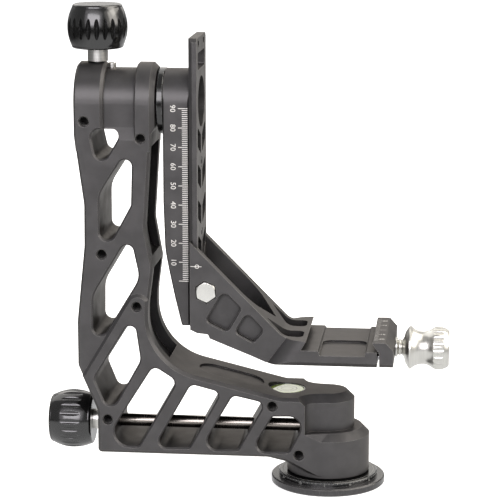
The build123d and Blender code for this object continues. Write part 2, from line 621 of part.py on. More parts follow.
def pan_spacer():
    z0 = PAN_BEARINGS_Z[0] + PAN_BEARING_T
    return tube_z(PAN_BEARING_R - 0.1, PAN_BEARING_R - SPACER_WALL, z0, PAN_BEARINGS_Z[1])


def pan_clip():
    return tube_z(PAN_BEARING_R, PAN_BEARING_R - SPACER_WALL, HOUSING_Z0 + TURN_GAP, PAN_BEARINGS_Z[0])


def pan_brake_shoe():
    reach = rod_x(ROD_R, ROD_END_X + 0.1, -COLLAR_R + 1.5, z=PAN_KNOB_Z)
    return reach - rod_z(COLLAR_R + THREAD_GAP, 20, 40)


def tilt_bearings():
    bore = AXLE_R + SHAFT_GAP
    return [tube_x(TILT_BEARING_R, bore, x, x + TILT_BEARING_T, TILT_Z) for x in TILT_BEARINGS_X]


def tilt_spacer():
    x0 = TILT_BEARINGS_X[0] + TILT_BEARING_T
    return tube_x(TILT_BEARING_R - 0.1, TILT_BEARING_R - SPACER_WALL, x0, TILT_BEARINGS_X[1], TILT_Z)


def tilt_brake_shoe():
    shoe = rod_z(TILT_STUD_R, TILT_Z + AXLE_R - 1, TILT_Z + AXLE_R + TILT_SHOE_T, x=TILT_KNOB_X)
    return shoe - rod_x(AXLE_R + THREAD_GAP, AXLE_LEFT, -115, z=TILT_Z)


def top_screw_hole():
    """Tapped hole and spot face for the small screw on the waist of the head."""
    seat = TILT_Z + HEAD_WAIST_R - TOP_SCREW_SEAT
    spot_face = rod_z(TOP_SCREW_R + THREAD_GAP, seat, seat + 8, x=TOP_SCREW_X)
    bore = rod_z(TOP_SCREW_SHANK_R + THREAD_GAP, seat - TOP_SCREW_REACH - 0.5, seat + 1, x=TOP_SCREW_X)
    return spot_face + bore


def top_screw():
    """Small socket screw on the waist of the head."""
    seat = TILT_Z + HEAD_WAIST_R - TOP_SCREW_SEAT
    head_solid = rod_z(TOP_SCREW_R, seat, seat + TOP_SCREW_HEAD_T, x=TOP_SCREW_X)
    head_solid = chamfer(top_rims(head_solid), 0.3)
    socket = extrude(Pos(TOP_SCREW_X, 0, seat + 1.7) * RegularPolygon(TOP_SCREW_SOCKET_R, 6), 3)
    shank = rod_z(TOP_SCREW_SHANK_R, seat - TOP_SCREW_REACH, seat, x=TOP_SCREW_X)
    return head_solid + shank - socket


def bubble_bezel():
    """Thin cup that holds the level's vial."""
    ring = rod_z(BEZEL_R - 0.05, BEZEL_FLOOR, BEZEL_TOP, x=BUBBLE_X)
    ring = chamfer(top_rims(ring), 0.3)
    return ring - rod_z(VIAL_R, VIAL_FLOOR, BEZEL_TOP + 1, x=BUBBLE_X)


def bubble_vial():
    vial = rod_z(VIAL_R - 0.05, VIAL_FLOOR, VIAL_TOP, x=BUBBLE_X)
    vial = fillet(top_rims(vial), 0.6)
    air_top = VIAL_TOP - AIR_DEPTH
    return vial - rod_z(AIR_R + 0.02, air_top - AIR_T - 0.1, air_top + 0.1, x=BUBBLE_X)


def bubble_air():
    air_top = VIAL_TOP - AIR_DEPTH
    air = rod_z(AIR_R, air_top - AIR_T, air_top, x=BUBBLE_X)
    return fillet(air.edges().filter_by(GeomType.CIRCLE), 0.4)


# --- lock knobs ---------------------------------------------------------------------------

def lock_knob_grip():
    """Barrel knob along Z, its foot at z = 0."""
    edge = KNOB_ROUND
    soft = 0.3 * edge
    top = KNOB_LENGTH
    foot = ThreePointArc((KNOB_NECK_R - edge, 0), (KNOB_NECK_R - soft, soft), (KNOB_NECK_R, edge))
    side = ThreePointArc((KNOB_NECK_R, edge), (KNOB_R, top / 2), (KNOB_END_R, top - edge))
    end = ThreePointArc((KNOB_END_R, top - edge), (KNOB_END_R - soft, top - soft), (KNOB_END_R - edge, top))
    core = Polyline((KNOB_END_R - edge, top), (0, top), (0, 0), (KNOB_NECK_R - edge, 0))
    outline = Plane.XZ * make_face(foot.edges() + side.edges() + end.edges() + core.edges())
    return fluted_knob(outline, KNOB_FLUTES, KNOB_FLUTE_R, KNOB_FLUTE_DEPTH, KNOB_R, -1, top + 1)


def tilt_knob_grip():
    socket = rod_z(TILT_STUD_R, -1, KNOB_SOCKET)
    return Pos(TILT_KNOB_X, 0, TILT_KNOB_Z) * (lock_knob_grip() - socket)


def tilt_knob_sleeve():
    sleeve = tube_z(TILT_SLEEVE_R, TILT_STUD_R, TILT_Z + HEAD_R + TURN_GAP, TILT_KNOB_Z)
    return Pos(TILT_KNOB_X, 0, 0) * sleeve


def tilt_lock_stud():
    return rod_z(TILT_STUD_R, TILT_Z + AXLE_R + TILT_SHOE_T + 0.1, TILT_KNOB_Z + KNOB_SOCKET, x=TILT_KNOB_X)


def pan_knob_grip():
    socket = rod_z(ROD_R, -1, KNOB_SOCKET)
    return Pos(PAN_KNOB_X, 0, PAN_KNOB_Z) * Rot(0, -90, 0) * (lock_knob_grip() - socket)


def pan_knob_sleeve():
    return tube_x(PAN_SLEEVE_R, ROD_R, PAN_KNOB_X, FOOT_LEFT - TURN_GAP, PAN_KNOB_Z)


def pan_lock_rod():
    rod = rod_x(ROD_R, PAN_KNOB_X - KNOB_SOCKET, ROD_END_X, z=PAN_KNOB_Z)
    return rod - rod_y(ROD_HOLE_R, -5, 5, x=ROD_HOLE_X, z=PAN_KNOB_Z)


# --- swing arm ----------------------------------------------------------------------------

def lattice_cutter(x0, x1):
    """Pairs of slanted windows on both sides of a middle rib."""
    cutter = None
    for number in range(LATTICE_COUNT):
        foot = LATTICE_TOP - number * LATTICE_PITCH
        corners = [(LATTICE_INNER, foot, 1.4), (LATTICE_OUTER, foot + LATTICE_RISE, 2.0),
                   (LATTICE_OUTER, foot + LATTICE_RISE + LATTICE_WINDOW, 2.0),
                   (LATTICE_INNER, foot + LATTICE_WINDOW, 1.4)]
        window = extrude(Pos(x0, 0, 0) * profile_face(corners, Plane.YZ), x1 - x0, dir=(1, 0, 0))
        pair = window + mirror(window, Plane.XZ)
        cutter = pair if cutter is None else cutter + pair
    return cutter


def swing_arm():
    arm = bevelled_slab(profile_face(ARM_PROFILE), ARM_HALF, ARM_EDGE)
    arm &= block(-100, -60, -30, 30, 0, TILT_Z) + rod_x(ARM_HALF, -100, -60, z=TILT_Z)
    arm -= rod_x(AXLE_R, -100, -60, z=TILT_Z)
    arm -= rod_x(HUB_HOLE_R, HUB_HOLE_FLOOR, -60, z=TILT_Z)
    arm -= lattice_cutter(ARM_RIGHT - LATTICE_DEPTH, ARM_RIGHT + 1)
    screw_end = ARM_RIGHT - RAIL_SCREW_REACH - 0.2
    for y, z in RAIL_SCREW_PLACES:
        arm -= rod_x(RAIL_SCREW_R + THREAD_GAP / 2, screw_end, ARM_RIGHT + 1, y=y, z=z)
    return arm


def bearing_ring():
    ring = rod_x(BEARING_RING_R, BEARING_RING_LEFT, ARM_LEFT, z=TILT_Z)
    ring = chamfer(ring.edges().filter_by(GeomType.CIRCLE), 0.5)
    return ring - rod_x(AXLE_R, -100, -60, z=TILT_Z)


def tilt_axle():
    axle = rod_x(AXLE_R, AXLE_LEFT, HUB_HOLE_FLOOR, z=TILT_Z)
    return axle - rod_x(HUB_BOLT_SHANK_R + THREAD_GAP / 2, HUB_BOLT_END - 0.2, -60, z=TILT_Z)


def hub_washer():
    seat = HUB_HOLE_FLOOR + HUB_WASHER_T
    return tube_x(HUB_WASHER_R, HUB_BOLT_SHANK_R + 0.2, HUB_HOLE_FLOOR, seat, TILT_Z)


def hub_bolt():
    """Socket bolt that draws the arm onto the tilt axle."""
    seat = HUB_HOLE_FLOOR + HUB_WASHER_T
    bolt_head = rod_x(HUB_BOLT_R, seat, seat + HUB_BOLT_HEAD_T, z=TILT_Z)
    bolt_head = chamfer(top_rims(bolt_head, Axis.X), 0.6)
    socket = extrude(Plane.YZ.offset(seat + 2.4) * Pos(0, TILT_Z) * RegularPolygon(HUB_BOLT_SOCKET_R, 6), 5)
    return bolt_head + rod_x(HUB_BOLT_SHANK_R, HUB_BOLT_END, seat, z=TILT_Z) - socket


def slide_rail():
    """The dovetail rail on the arm's right side, pierced by its lattice and windows."""
    edge_y = RAIL_HALF - RAIL_BEVEL
    section = Polyline((RAIL_LEFT, -edge_y), (RAIL_BEVEL_X, -RAIL_HALF), (RAIL_RIGHT, -RAIL_HALF),
                       (RAIL_RIGHT, RAIL_HALF), (RAIL_BEVEL_X, RAIL_HALF), (RAIL_LEFT, edge_y), close=True)
    rail = extrude(Pos(0, 0, RAIL_BOTTOM) * make_face(section.edges()), RAIL_TOP - RAIL_BOTTOM)
    rail = chamfer(rail.edges().filter_by(Axis.X).group_by(Axis.Z)[-1], RAIL_TOP_EDGE)
    rail -= rod_x(HUB_HOLE_R, RAIL_LEFT - 1, RAIL_RIGHT + 1, z=TILT_Z)
    rail -= rail_window(0, RAIL_SLOT_HALF_Y, RAIL_SLOT_Z)
    for side in (-1, 1):
        rail -= rail_window(side * RAIL_NOTCH_Y, RAIL_NOTCH_HALF_Y, RAIL_NOTCH_Z)
    rail -= lattice_cutter(RAIL_LEFT - 1, RAIL_RIGHT + 1)
    sink = RAIL_SCREW_SINK + RAIL_SCREW_HEAD_T
    for y, z in RAIL_SCREW_PLACES:
        rail -= rod_x(RAIL_SCREW_R + THREAD_GAP, RAIL_LEFT - 1, RAIL_RIGHT + 1, y=y, z=z)
        rail -= rod_x(RAIL_SCREW_HEAD_R + SLIDE_GAP, RAIL_RIGHT - sink, RAIL_RIGHT + 1, y=y, z=z)
    return rail


def rail_window(y, half_y, z_span):
    """A rounded through opening in the rail."""
    z0, z1 = z_span
    corner = RAIL_SLOT_CORNER
    corners = [(y - half_y, z0, corner), (y + half_y, z0, corner), (y + half_y, z1, corner),
               (y - half_y, z1, corner)]
    return extrude(Pos(RAIL_LEFT - 1, 0, 0) * profile_face(corners, Plane.YZ), 8, dir=(1, 0, 0))


def rail_screws():
    """Socket screws that hold the rail to the arm, sunk under the rail's face."""
    screws = []
    face = RAIL_RIGHT - RAIL_SCREW_SINK
    seat = face - RAIL_SCREW_HEAD_T
    for y, z in RAIL_SCREW_PLACES:
        cap = rod_x(RAIL_SCREW_HEAD_R, seat, face, y=y, z=z)
        shank = rod_x(RAIL_SCREW_R, ARM_RIGHT - RAIL_SCREW_REACH, seat, y=y, z=z)
        socket = extrude(Plane.YZ.offset(seat + 1.2) * Pos(y, z) * RegularPolygon(RAIL_SCREW_SOCKET_R, 6), 3)
        screws.append(cap + shank - socket)
    return screws


# --- cradle -------------------------------------------------------------------------------

def cheek_trim():
    """What is cut from each side so that the cheeks stay narrower than the jaw."""
    step = JAW_HALF - CHEEK_HALF
    bow = (FLARE_LENGTH ** 2 + step ** 2) / (2 * step)
    half_turn = asin(FLARE_LENGTH / bow) / 2
    middle = (FLARE_LENGTH - bow * sin(half_turn), JAW_HALF - bow * (1 - cos(half_turn)))
    side = JAW_HALF + 2
    flare = ThreePointArc((0, CHEEK_HALF), middle, (FLARE_LENGTH, JAW_HALF))
    rest = Polyline((FLARE_LENGTH, JAW_HALF), (FLARE_LENGTH, side), (-90, side), (-90, CHEEK_HALF),
                    (0, CHEEK_HALF))
    turn = radians(FLARE_ANGLE)
    across = Vector(sin(turn), 0, -cos(turn))
    normal = across.cross(Vector(0, 1, 0))
    plane = Plane(origin=(FLARE_START[0], 0, FLARE_START[1]), x_dir=across, z_dir=normal)
    return extrude(plane * make_face(flare.edges() + rest.edges()), 140, both=True)


def cradle_body():
    """The L-shaped cradle: two cheeks that hug the rail, and the fixed jaw with its seat."""
    body = extrude(profile_face(CRADLE_PROFILE), JAW_HALF, both=True)
    trim = cheek_trim()
    body -= trim
    body -= mirror(trim, Plane.XZ)
    body -= jaw_bottom_bevel(-40, 40)
    opening = extrude(profile_face(OPENING_PROFILE), OPENING_HALF, both=True)
    body -= opening & extrude(Pos(0, 0, 60) * profile_face(OPENING_PLAN, Plane.XY), 90)
    slot = extrude(Pos(0, 0, RIB_SLOT_FLOOR) * profile_face(RIB_SLOT_PLAN, Plane.XY), 30)
    body -= slot
    body -= mirror(slot, Plane.XZ)
    for corners in SIDE_POCKETS:
        pocket = pocket_cutter(corners, -CHEEK_HALF, SIDE_POCKET_DEPTH, SIDE_POCKET_EDGE)
        body -= pocket
        body -= mirror(pocket, Plane.XZ)
    body -= rail_groove()
    body -= seat_pocket()
    bolt_x, bolt_z = HEIGHT_BOLT
    body -= rod_y(HEIGHT_BOLT_R + THREAD_GAP, -30, 30, x=bolt_x, z=bolt_z)
    recess = Pos(0, HEIGHT_BOLT_SEAT_Y, 0) * hexagon_face(HEIGHT_BOLT_AF + 2 * HEIGHT_BOLT_RECESS_GAP)
    body -= extrude(recess, 10)
    screw_room = CLAMP_SCREW_END - JAW_PULL_BACK - TURN_GAP
    body -= rod_x(CLAMP_SCREW_R + THREAD_GAP / 2, screw_room, 40, z=CLAMP_Z)
    for y in (-GUIDE_PIN_Y, GUIDE_PIN_Y):
        body -= rod_x(GUIDE_PIN_R, GUIDE_PIN_X0, 40, y=y, z=GUIDE_PIN_Z)
    return body


def rail_groove():
    """The dovetail groove that wraps the rail, with the rear pocket for the gib."""
    half = RAIL_HALF + SLIDE_GAP
    face_x = RAIL_RIGHT + SLIDE_GAP
    inner = half - RAIL_BEVEL
    section = Polyline((RAIL_LEFT - 1, 1 - inner), (RAIL_LEFT, -inner), (RAIL_BEVEL_X, -half),
                       (face_x, -half), (face_x, half), (RAIL_BEVEL_X, half), (RAIL_LEFT, inner),
                       (RAIL_LEFT - 1, inner - 1), close=True)
    groove = extrude(Pos(0, 0, 60) * make_face(section.edges()), 100)
    gib_room = block(RAIL_BEVEL_X, face_x, RAIL_HALF, RAIL_HALF + GIB_T + 0.2, GIB_Z0, GIB_Z1)
    return groove + gib_room


def cradle_gib():
    outer = RAIL_HALF + GIB_T + 0.2
    return block(RAIL_BEVEL_X + 0.1, RAIL_RIGHT, RAIL_HALF + SLIDE_GAP, outer, GIB_Z0, GIB_Z1)


def jaw_bottom_bevel(x0, x1):
    """Cuts the chamfers along the front and back of the underside."""
    low = JAW_BOTTOM
    corners = [(JAW_HALF - JAW_CHAMFER, low - 0.01, 0), (JAW_HALF + 1, low + JAW_CHAMFER + 1, 0),
               (JAW_HALF + 1, low - 2, 0), (JAW_HALF - JAW_CHAMFER, low - 2, 0)]
    wedge = extrude(Pos(x0, 0, 0) * profile_face(corners, Plane.YZ), x1 - x0, dir=(1, 0, 0))
    return wedge + mirror(wedge, Plane.XZ)


def seat_pocket():
    """Rounded pocket in the front half of the seat, open to the front."""
    left = SEAT_POCKET_X - SEAT_POCKET_HALF_X
    right = SEAT_POCKET_X + SEAT_POCKET_HALF_X
    corners = [(left, -40, 0), (right, -40, 0), (right, SEAT_POCKET_REAR, 5), (left, SEAT_POCKET_REAR, 5)]
    return extrude(Pos(0, 0, SEAT_POCKET_FLOOR) * profile_face(corners, Plane.XY), 1.3)


def hexagon_face(across_flats):
    """Hexagon about the height bolt's axis, in the plane Y = 0."""
    bolt_x, bolt_z = HEIGHT_BOLT
    corner_r = across_flats / sqrt(3)
    return Plane.XZ * Pos(bolt_x, bolt_z) * RegularPolygon(corner_r, 6, rotation=HEIGHT_BOLT_TURN)


def height_bolt():
    """Polished bolt with a crowned hexagon head, through both cheeks."""
    bolt_x, bolt_z = HEIGHT_BOLT
    front = HEIGHT_BOLT_FRONT_Y
    half = HEIGHT_BOLT_AF / 2
    hexagon = Pos(0, front, 0) * hexagon_face(HEIGHT_BOLT_AF)
    bolt_head = extrude(hexagon, HEIGHT_BOLT_SEAT_Y - front, dir=(0, 1, 0))
    crown = Pos(bolt_x, front, bolt_z) * Rot(-90, 0, 0) * cone_z(half - 0.1, half + 1.4, 1.0)
    bolt_head &= crown + rod_y(HEIGHT_BOLT_AF, front + 1.0, 0, x=bolt_x, z=bolt_z)
    shank_end = HEIGHT_KNOB_Y + HEIGHT_BOLT_REACH
    return bolt_head + rod_y(HEIGHT_BOLT_R, HEIGHT_BOLT_SEAT_Y - 0.1, shank_end, x=bolt_x, z=bolt_z)


def height_washer():
    bolt_x, bolt_z = HEIGHT_BOLT
    washer = rod_y(HEIGHT_WASHER_R, CHEEK_HALF, HEIGHT_KNOB_Y - TURN_GAP / 3, x=bolt_x, z=bolt_z)
    return washer - rod_y(HEIGHT_BOLT_R + 0.05, 0, 40, x=bolt_x, z=bolt_z)


def height_knob_grip():
    """Smaller lock knob behind the cradle, turning on the through bolt."""
    top = HEIGHT_KNOB_LENGTH
    edge = HEIGHT_KNOB_EDGE
    end_r = HEIGHT_KNOB_END_R
    side = ThreePointArc((end_r, edge), (HEIGHT_KNOB_R, top / 2), (end_r, top - edge))
    rest = Polyline((end_r, top - edge), (end_r - edge, top), (0, top), (0, 0), (end_r - edge, 0),
                    (end_r, edge))
    outline = Plane.XZ * make_face(side.edges() + rest.edges())
    grip = fluted_knob(outline, HEIGHT_KNOB_FLUTES, HEIGHT_KNOB_FLUTE_R, HEIGHT_KNOB_FLUTE_DEPTH,
                       HEIGHT_KNOB_R, -1, top + 1)
    grip -= rod_z(HEIGHT_INSERT_R, -1, HEIGHT_INSERT_T)
    return Pos(HEIGHT_BOLT[0], HEIGHT_KNOB_Y, HEIGHT_BOLT[1]) * Rot(-90, 0, 0) * grip


def height_knob_insert():
    """Threaded bush in the knob, on the bolt's end."""
    bolt_x, bolt_z = HEIGHT_BOLT
    insert = rod_y(HEIGHT_INSERT_R, HEIGHT_KNOB_Y, HEIGHT_KNOB_Y + HEIGHT_INSERT_T, x=bolt_x, z=bolt_z)
    bore_end = HEIGHT_KNOB_Y + HEIGHT_BOLT_REACH + 0.4
    return insert - rod_y(HEIGHT_BOLT_R + THREAD_GAP, HEIGHT_KNOB_Y - 1, bore_end, x=bolt_x, z=bolt_z)


# --- moving jaw ---------------------------------------------------------------------------

def clamp_jaw():
    jaw = extrude(profile_face(MOVING_JAW_PROFILE), JAW_HALF, both=True)
    jaw -= jaw_bottom_bevel(20, 40)
    jaw -= rod_x(CLAMP_SCREW_R + THREAD_GAP, 20, 40, z=CLAMP_Z)
    for y in (-GUIDE_PIN_Y, GUIDE_PIN_Y):
        pin_room = GUIDE_PIN_X1 + JAW_PULL_BACK + TURN_GAP
        jaw -= rod_x(GUIDE_PIN_R + SHAFT_GAP, 20, pin_room, y=y, z=GUIDE_PIN_Z)
    return jaw


def guide_pins():
    sides = (-GUIDE_PIN_Y, GUIDE_PIN_Y)
    return [rod_x(GUIDE_PIN_R, GUIDE_PIN_X0, GUIDE_PIN_X1, y=y, z=GUIDE_PIN_Z) for y in sides]


def clamp_washer():
    washer = rod_x(CLAMP_WASHER_R, MOVING_JAW_FACE + 0.1, CLAMP_KNOB_X0, z=CLAMP_Z)
    washer = chamfer(washer.edges().filter_by(GeomType.CIRCLE), 0.2)
    return washer - rod_x(CLAMP_SCREW_R, 30, 40, z=CLAMP_Z)


def clamp_screw():
    return rod_x(CLAMP_SCREW_R, CLAMP_SCREW_END, CLAMP_KNOB_X0 + CLAMP_SCREW_REACH, z=CLAMP_Z)


def clamp_knob_grip():
    """Polished knob: a neck, a flared rim, a waist and a fluted grip, turned about X."""
    foot_r = CLAMP_KNOB_FOOT_R
    neck_r = CLAMP_KNOB_NECK_R
    rim = CLAMP_KNOB_RIM_X - CLAMP_KNOB_X0
    waist_x = CLAMP_KNOB_WAIST_X - CLAMP_KNOB_X0
    grip_x = CLAMP_KNOB_GRIP_X - CLAMP_KNOB_X0
    end = CLAMP_KNOB_X1 - CLAMP_KNOB_X0
    rim_end = (CLAMP_KNOB_R, rim + CLAMP_KNOB_RIM_T)
    grip_start = (CLAMP_KNOB_SHOULDER_R, grip_x - CLAMP_KNOB_GRIP_HALF)
    end_corner = (CLAMP_KNOB_END_R, end - 0.4)
    neck = ThreePointArc((foot_r, 0), (neck_r, 1.3), (neck_r - 0.4, 2.0))
    step = Line((neck_r - 0.4, 2.0), (neck_r, 2.4))
    bell = Spline((neck_r, 2.4), (neck_r + 3.4, 3.9), (CLAMP_KNOB_R, rim), tangents=((0.5, 1), (1, 0.6)))
    rim_edge = Line((CLAMP_KNOB_R, rim), rim_end)
    waist = ThreePointArc(rim_end, (CLAMP_KNOB_WAIST_R, waist_x), grip_start)
    grip = ThreePointArc(grip_start, (CLAMP_KNOB_R, grip_x), end_corner)
    core = Polyline(end_corner, (CLAMP_KNOB_END_R - 0.4, end), (0, end), (0, 0), (foot_r, 0))
    curves = [neck, step, bell, rim_edge, waist, grip, core]
    outline = Plane.XZ * make_face([edge for curve in curves for edge in curve.edges()])
    knob = fluted_knob(outline, CLAMP_FLUTES, CLAMP_FLUTE_R, CLAMP_FLUTE_DEPTH, CLAMP_KNOB_R, waist_x,
                       end + 1)
    knob -= rod_z(CLAMP_SCREW_R, -1, CLAMP_SCREW_REACH)
    return Pos(CLAMP_KNOB_X0, 0, CLAMP_Z) * Rot(0, 90, 0) * knob


# --- write the pieces ---------------------------------------------------------------------

def write(name, shape):
    """Writes one sub-part; a list of equal pieces is written together."""
    solid = Compound(children=shape) if isinstance(shape, list) else shape
    export_step(solid, os.path.join("parts", name + ".step"))


os.makedirs("parts", exist_ok=True)
pieces = {
    "base_plate": base_plate(),
    "base_screws": base_screws(),
    "pan_spindle": pan_spindle(),
    "degree_ring": degree_ring(),
    "pan_shim": pan_shim(),
    "pan_collar": pan_collar(),
    "collar_screw": collar_screw(),
    "yoke_frame": yoke_frame(),
    "pan_bearings": pan_bearings(),
    "pan_spacer": pan_spacer(),
    "pan_clip": pan_clip(),
    "pan_brake_shoe": pan_brake_shoe(),
    "tilt_bearings": tilt_bearings(),
    "tilt_spacer": tilt_spacer(),
    "tilt_brake_shoe": tilt_brake_shoe(),
    "top_screw": top_screw(),
    "bubble_bezel": bubble_bezel(),
    "bubble_vial": bubble_vial(),
    "bubble_air": bubble_air(),
    "tilt_knob_grip": tilt_knob_grip(),
    "tilt_knob_sleeve": tilt_knob_sleeve(),
    "tilt_lock_stud": tilt_lock_stud(),
    "pan_knob_grip": pan_knob_grip(),
    "pan_knob_sleeve": pan_knob_sleeve(),
    "pan_lock_rod": pan_lock_rod(),
    "swing_arm": swing_arm(),
    "bearing_ring": bearing_ring(),
    "tilt_axle": tilt_axle(),
    "hub_washer": hub_washer(),
    "hub_bolt": hub_bolt(),
    "slide_rail": slide_rail(),
    "rail_screws": rail_screws(),
    "cradle_body": cradle_body(),
    "cradle_gib": cradle_gib(),
    "guide_pins": guide_pins(),
    "height_bolt": height_bolt(),
    "height_washer": height_washer(),
    "height_knob_grip": height_knob_grip(),
    "height_knob_insert": height_knob_insert(),
    "clamp_jaw": clamp_jaw(),
    "clamp_washer": clamp_washer(),
    "clamp_screw": clamp_screw(),
    "clamp_knob_grip": clamp_knob_grip(),
}
for piece_name, piece_shape in pieces.items():
    write(piece_name, piece_shape)
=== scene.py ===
"""Looks of a gimbal tripod head: finishes, engraved scales, threads and the studio."""
import json
import logging
from dataclasses import dataclass, field
from enum import Enum
from math import pi, radians
from typing import Dict, List, Sequence, Tuple, Union

import bpy
from mathutils import Matrix, Vector


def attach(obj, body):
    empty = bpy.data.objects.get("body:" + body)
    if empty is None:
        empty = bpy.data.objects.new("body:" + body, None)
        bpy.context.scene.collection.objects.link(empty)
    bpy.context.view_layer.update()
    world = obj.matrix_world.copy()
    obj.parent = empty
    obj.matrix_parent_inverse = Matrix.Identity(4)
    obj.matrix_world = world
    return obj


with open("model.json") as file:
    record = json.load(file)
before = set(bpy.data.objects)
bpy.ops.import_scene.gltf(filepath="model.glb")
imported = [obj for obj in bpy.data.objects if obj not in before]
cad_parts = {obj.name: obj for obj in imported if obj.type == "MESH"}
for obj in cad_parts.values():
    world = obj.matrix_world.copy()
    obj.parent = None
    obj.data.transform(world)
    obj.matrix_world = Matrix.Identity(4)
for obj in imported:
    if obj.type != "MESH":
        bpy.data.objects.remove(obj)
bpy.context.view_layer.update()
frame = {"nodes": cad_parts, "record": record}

MM = 0.001
log = logging.getLogger("gimbal_head")

Point = Tuple[float, float, float]
Colour = Tuple[float, float, float, float]
Span = Tuple[float, float]

LEVEL_CENTRE: Point = (-22.0 * MM, 0.0, 49.6 * MM)
RELIEF_DEPTH = 0.02 * MM
WHITE: Colour = (1.0, 1.0, 1.0, 1.0)
WHOLE: Span = (0.0, 1.0)


class Side(Enum):
    """The two broad faces of the head, by the sign of their Y."""

    FRONT = -1
    BACK = 1


class Axis(Enum):
    """The axis of a turned part, as the stretch that lays a noise in rings about it."""

    X = (1.0, 0.02, 0.02)
    Y = (0.02, 1.0, 0.02)
    Z = (0.02, 0.02, 1.0)


def shaded(colour: Colour, factor: float) -> Colour:
    """A darker or lighter version of a colour.

    Args:
        colour: The colour to start from.
        factor: What its red, green and blue are multiplied by.

    Returns:
        The new colour, opaque.
    """
    red, green, blue = (factor * part for part in colour[:3])
    return (red, green, blue, 1.0)


# --- modelling bench -----------------------------------------------------------------------


class Bench:
    """Small modelling steps that the sub-assemblies share."""

    DIGIT_SHARE = 0.7
    FIGURE_DEPTH = 0.015 * MM
    FIGURE_RESOLUTION = 3
    RING_SIDES = 6

    @staticmethod
    def clear() -> None:
        """Deselect everything, so that an operator touches only what is picked next."""
        for item in bpy.context.selected_objects:
            item.select_set(False)
        bpy.context.view_layer.objects.active = None

    @staticmethod
    def pick(item: bpy.types.Object) -> None:
        """Make one object the only selected and active one.

        Args:
            item: The object to pick.
        """
        Bench.clear()
        item.select_set(True)
        bpy.context.view_layer.objects.active = item

    @staticmethod
    def settle(item: bpy.types.Object) -> bpy.types.Object:
        """Move an object's place, turn and scale into its mesh.

        Args:
            item: The object to settle.

        Returns:
            The same object, at the origin.
        """
        Bench.pick(item)
        bpy.ops.object.transform_apply(location=True, rotation=True, scale=True)
        return item

    @staticmethod
    def copy_at(item: bpy.types.Object, place: Matrix) -> bpy.types.Object:
        """Copy an object with its own mesh and put the copy at a place.

        Args:
            item: The finished model to copy.
            place: Where the copy goes, in metres.

        Returns:
            The copy, at the origin with the place in its mesh.
        """
        twin = item.copy()
        twin.data = item.data.copy()
        bpy.context.scene.collection.objects.link(twin)
        twin.data.transform(place)
        return twin

    @staticmethod
    def name(item: bpy.types.Object, name: str) -> None:
        """Name an object and its mesh alike."""
        item.name = name
        item.data.name = name

    @staticmethod
    def coat(item: bpy.types.Object, material: bpy.types.Material) -> None:
        """Give an object's mesh one material and no other."""
        item.data.materials.clear()
        item.data.materials.append(material)

    @staticmethod
    def join(items: Sequence[bpy.types.Object], name: str) -> bpy.types.Object:
        """Join objects into one mesh.

        Args:
            items: The objects to join.
            name: The name of the joined piece.

        Returns:
            The joined object.
        """
        Bench.clear()
        for item in items:
            item.select_set(True)
        bpy.context.view_layer.objects.active = items[0]
        bpy.ops.object.join()
        Bench.name(items[0], name)
        return items[0]

    @staticmethod
    def bar(size: Point, centre: Point) -> bpy.types.Object:
        """A straight thin bar.

        Args:
            size: Length along X, Y and Z in metres.
            centre: The bar's middle in metres.

        Returns:
            The bar, settled.
        """
        Bench.clear()
        bpy.ops.mesh.primitive_cube_add(size=1.0, location=centre)
        item = bpy.context.object
        item.scale = size
        return Bench.settle(item)

    @staticmethod
    def ring(radius: float, line_r: float, centre: Point, segments: int, flatness: float,
             turn: Point = (0.0, 0.0, 0.0)) -> bpy.types.Object:
        """A fine engraved circle, flattened along its own axis.

        Args:
            radius: The circle's radius in metres.
            line_r: Half the width of its line in metres.
            centre: The circle's middle in metres.
            segments: Number of segments round the circle.
            flatness: Share of the line's height that is kept.
            turn: How the circle is turned about X, Y and Z, from lying flat.

        Returns:
            The circle, settled.
        """
        Bench.clear()
        bpy.ops.mesh.primitive_torus_add(
            location=centre, rotation=turn, major_segments=segments,
            minor_segments=Bench.RING_SIDES, major_radius=radius, minor_radius=line_r)
        item = bpy.context.object
        item.scale = (1.0, 1.0, flatness)
        return Bench.settle(item)

    @staticmethod
    def numeral(text: str, height: float, place: Matrix) -> bpy.types.Object:
        """A flat figure with a little thickness, lying in the XY plane before it is placed.

        Args:
            text: The figure to draw.
            height: Height of the digits in metres.
            place: Where the figure's middle goes.

        Returns:
            The figure as a mesh, settled.
        """
        Bench.clear()
        bpy.ops.object.text_add()
        item = bpy.context.object
        item.data.body = text
        item.data.align_x = "CENTER"
        item.data.align_y = "CENTER"
        item.data.size = height / Bench.DIGIT_SHARE
        item.data.extrude = Bench.FIGURE_DEPTH
        item.data.resolution_u = Bench.FIGURE_RESOLUTION
        bpy.ops.object.convert(target="MESH")
        item = bpy.context.object
        Bench.settle(item)
        item.data.transform(place)
        return item


# --- node graphs ---------------------------------------------------------------------------


@dataclass(frozen=True)
class Grain:
    """How fine a noise is: cells per metre, and octaves of finer grain in them."""

    scale: float
    octaves: float


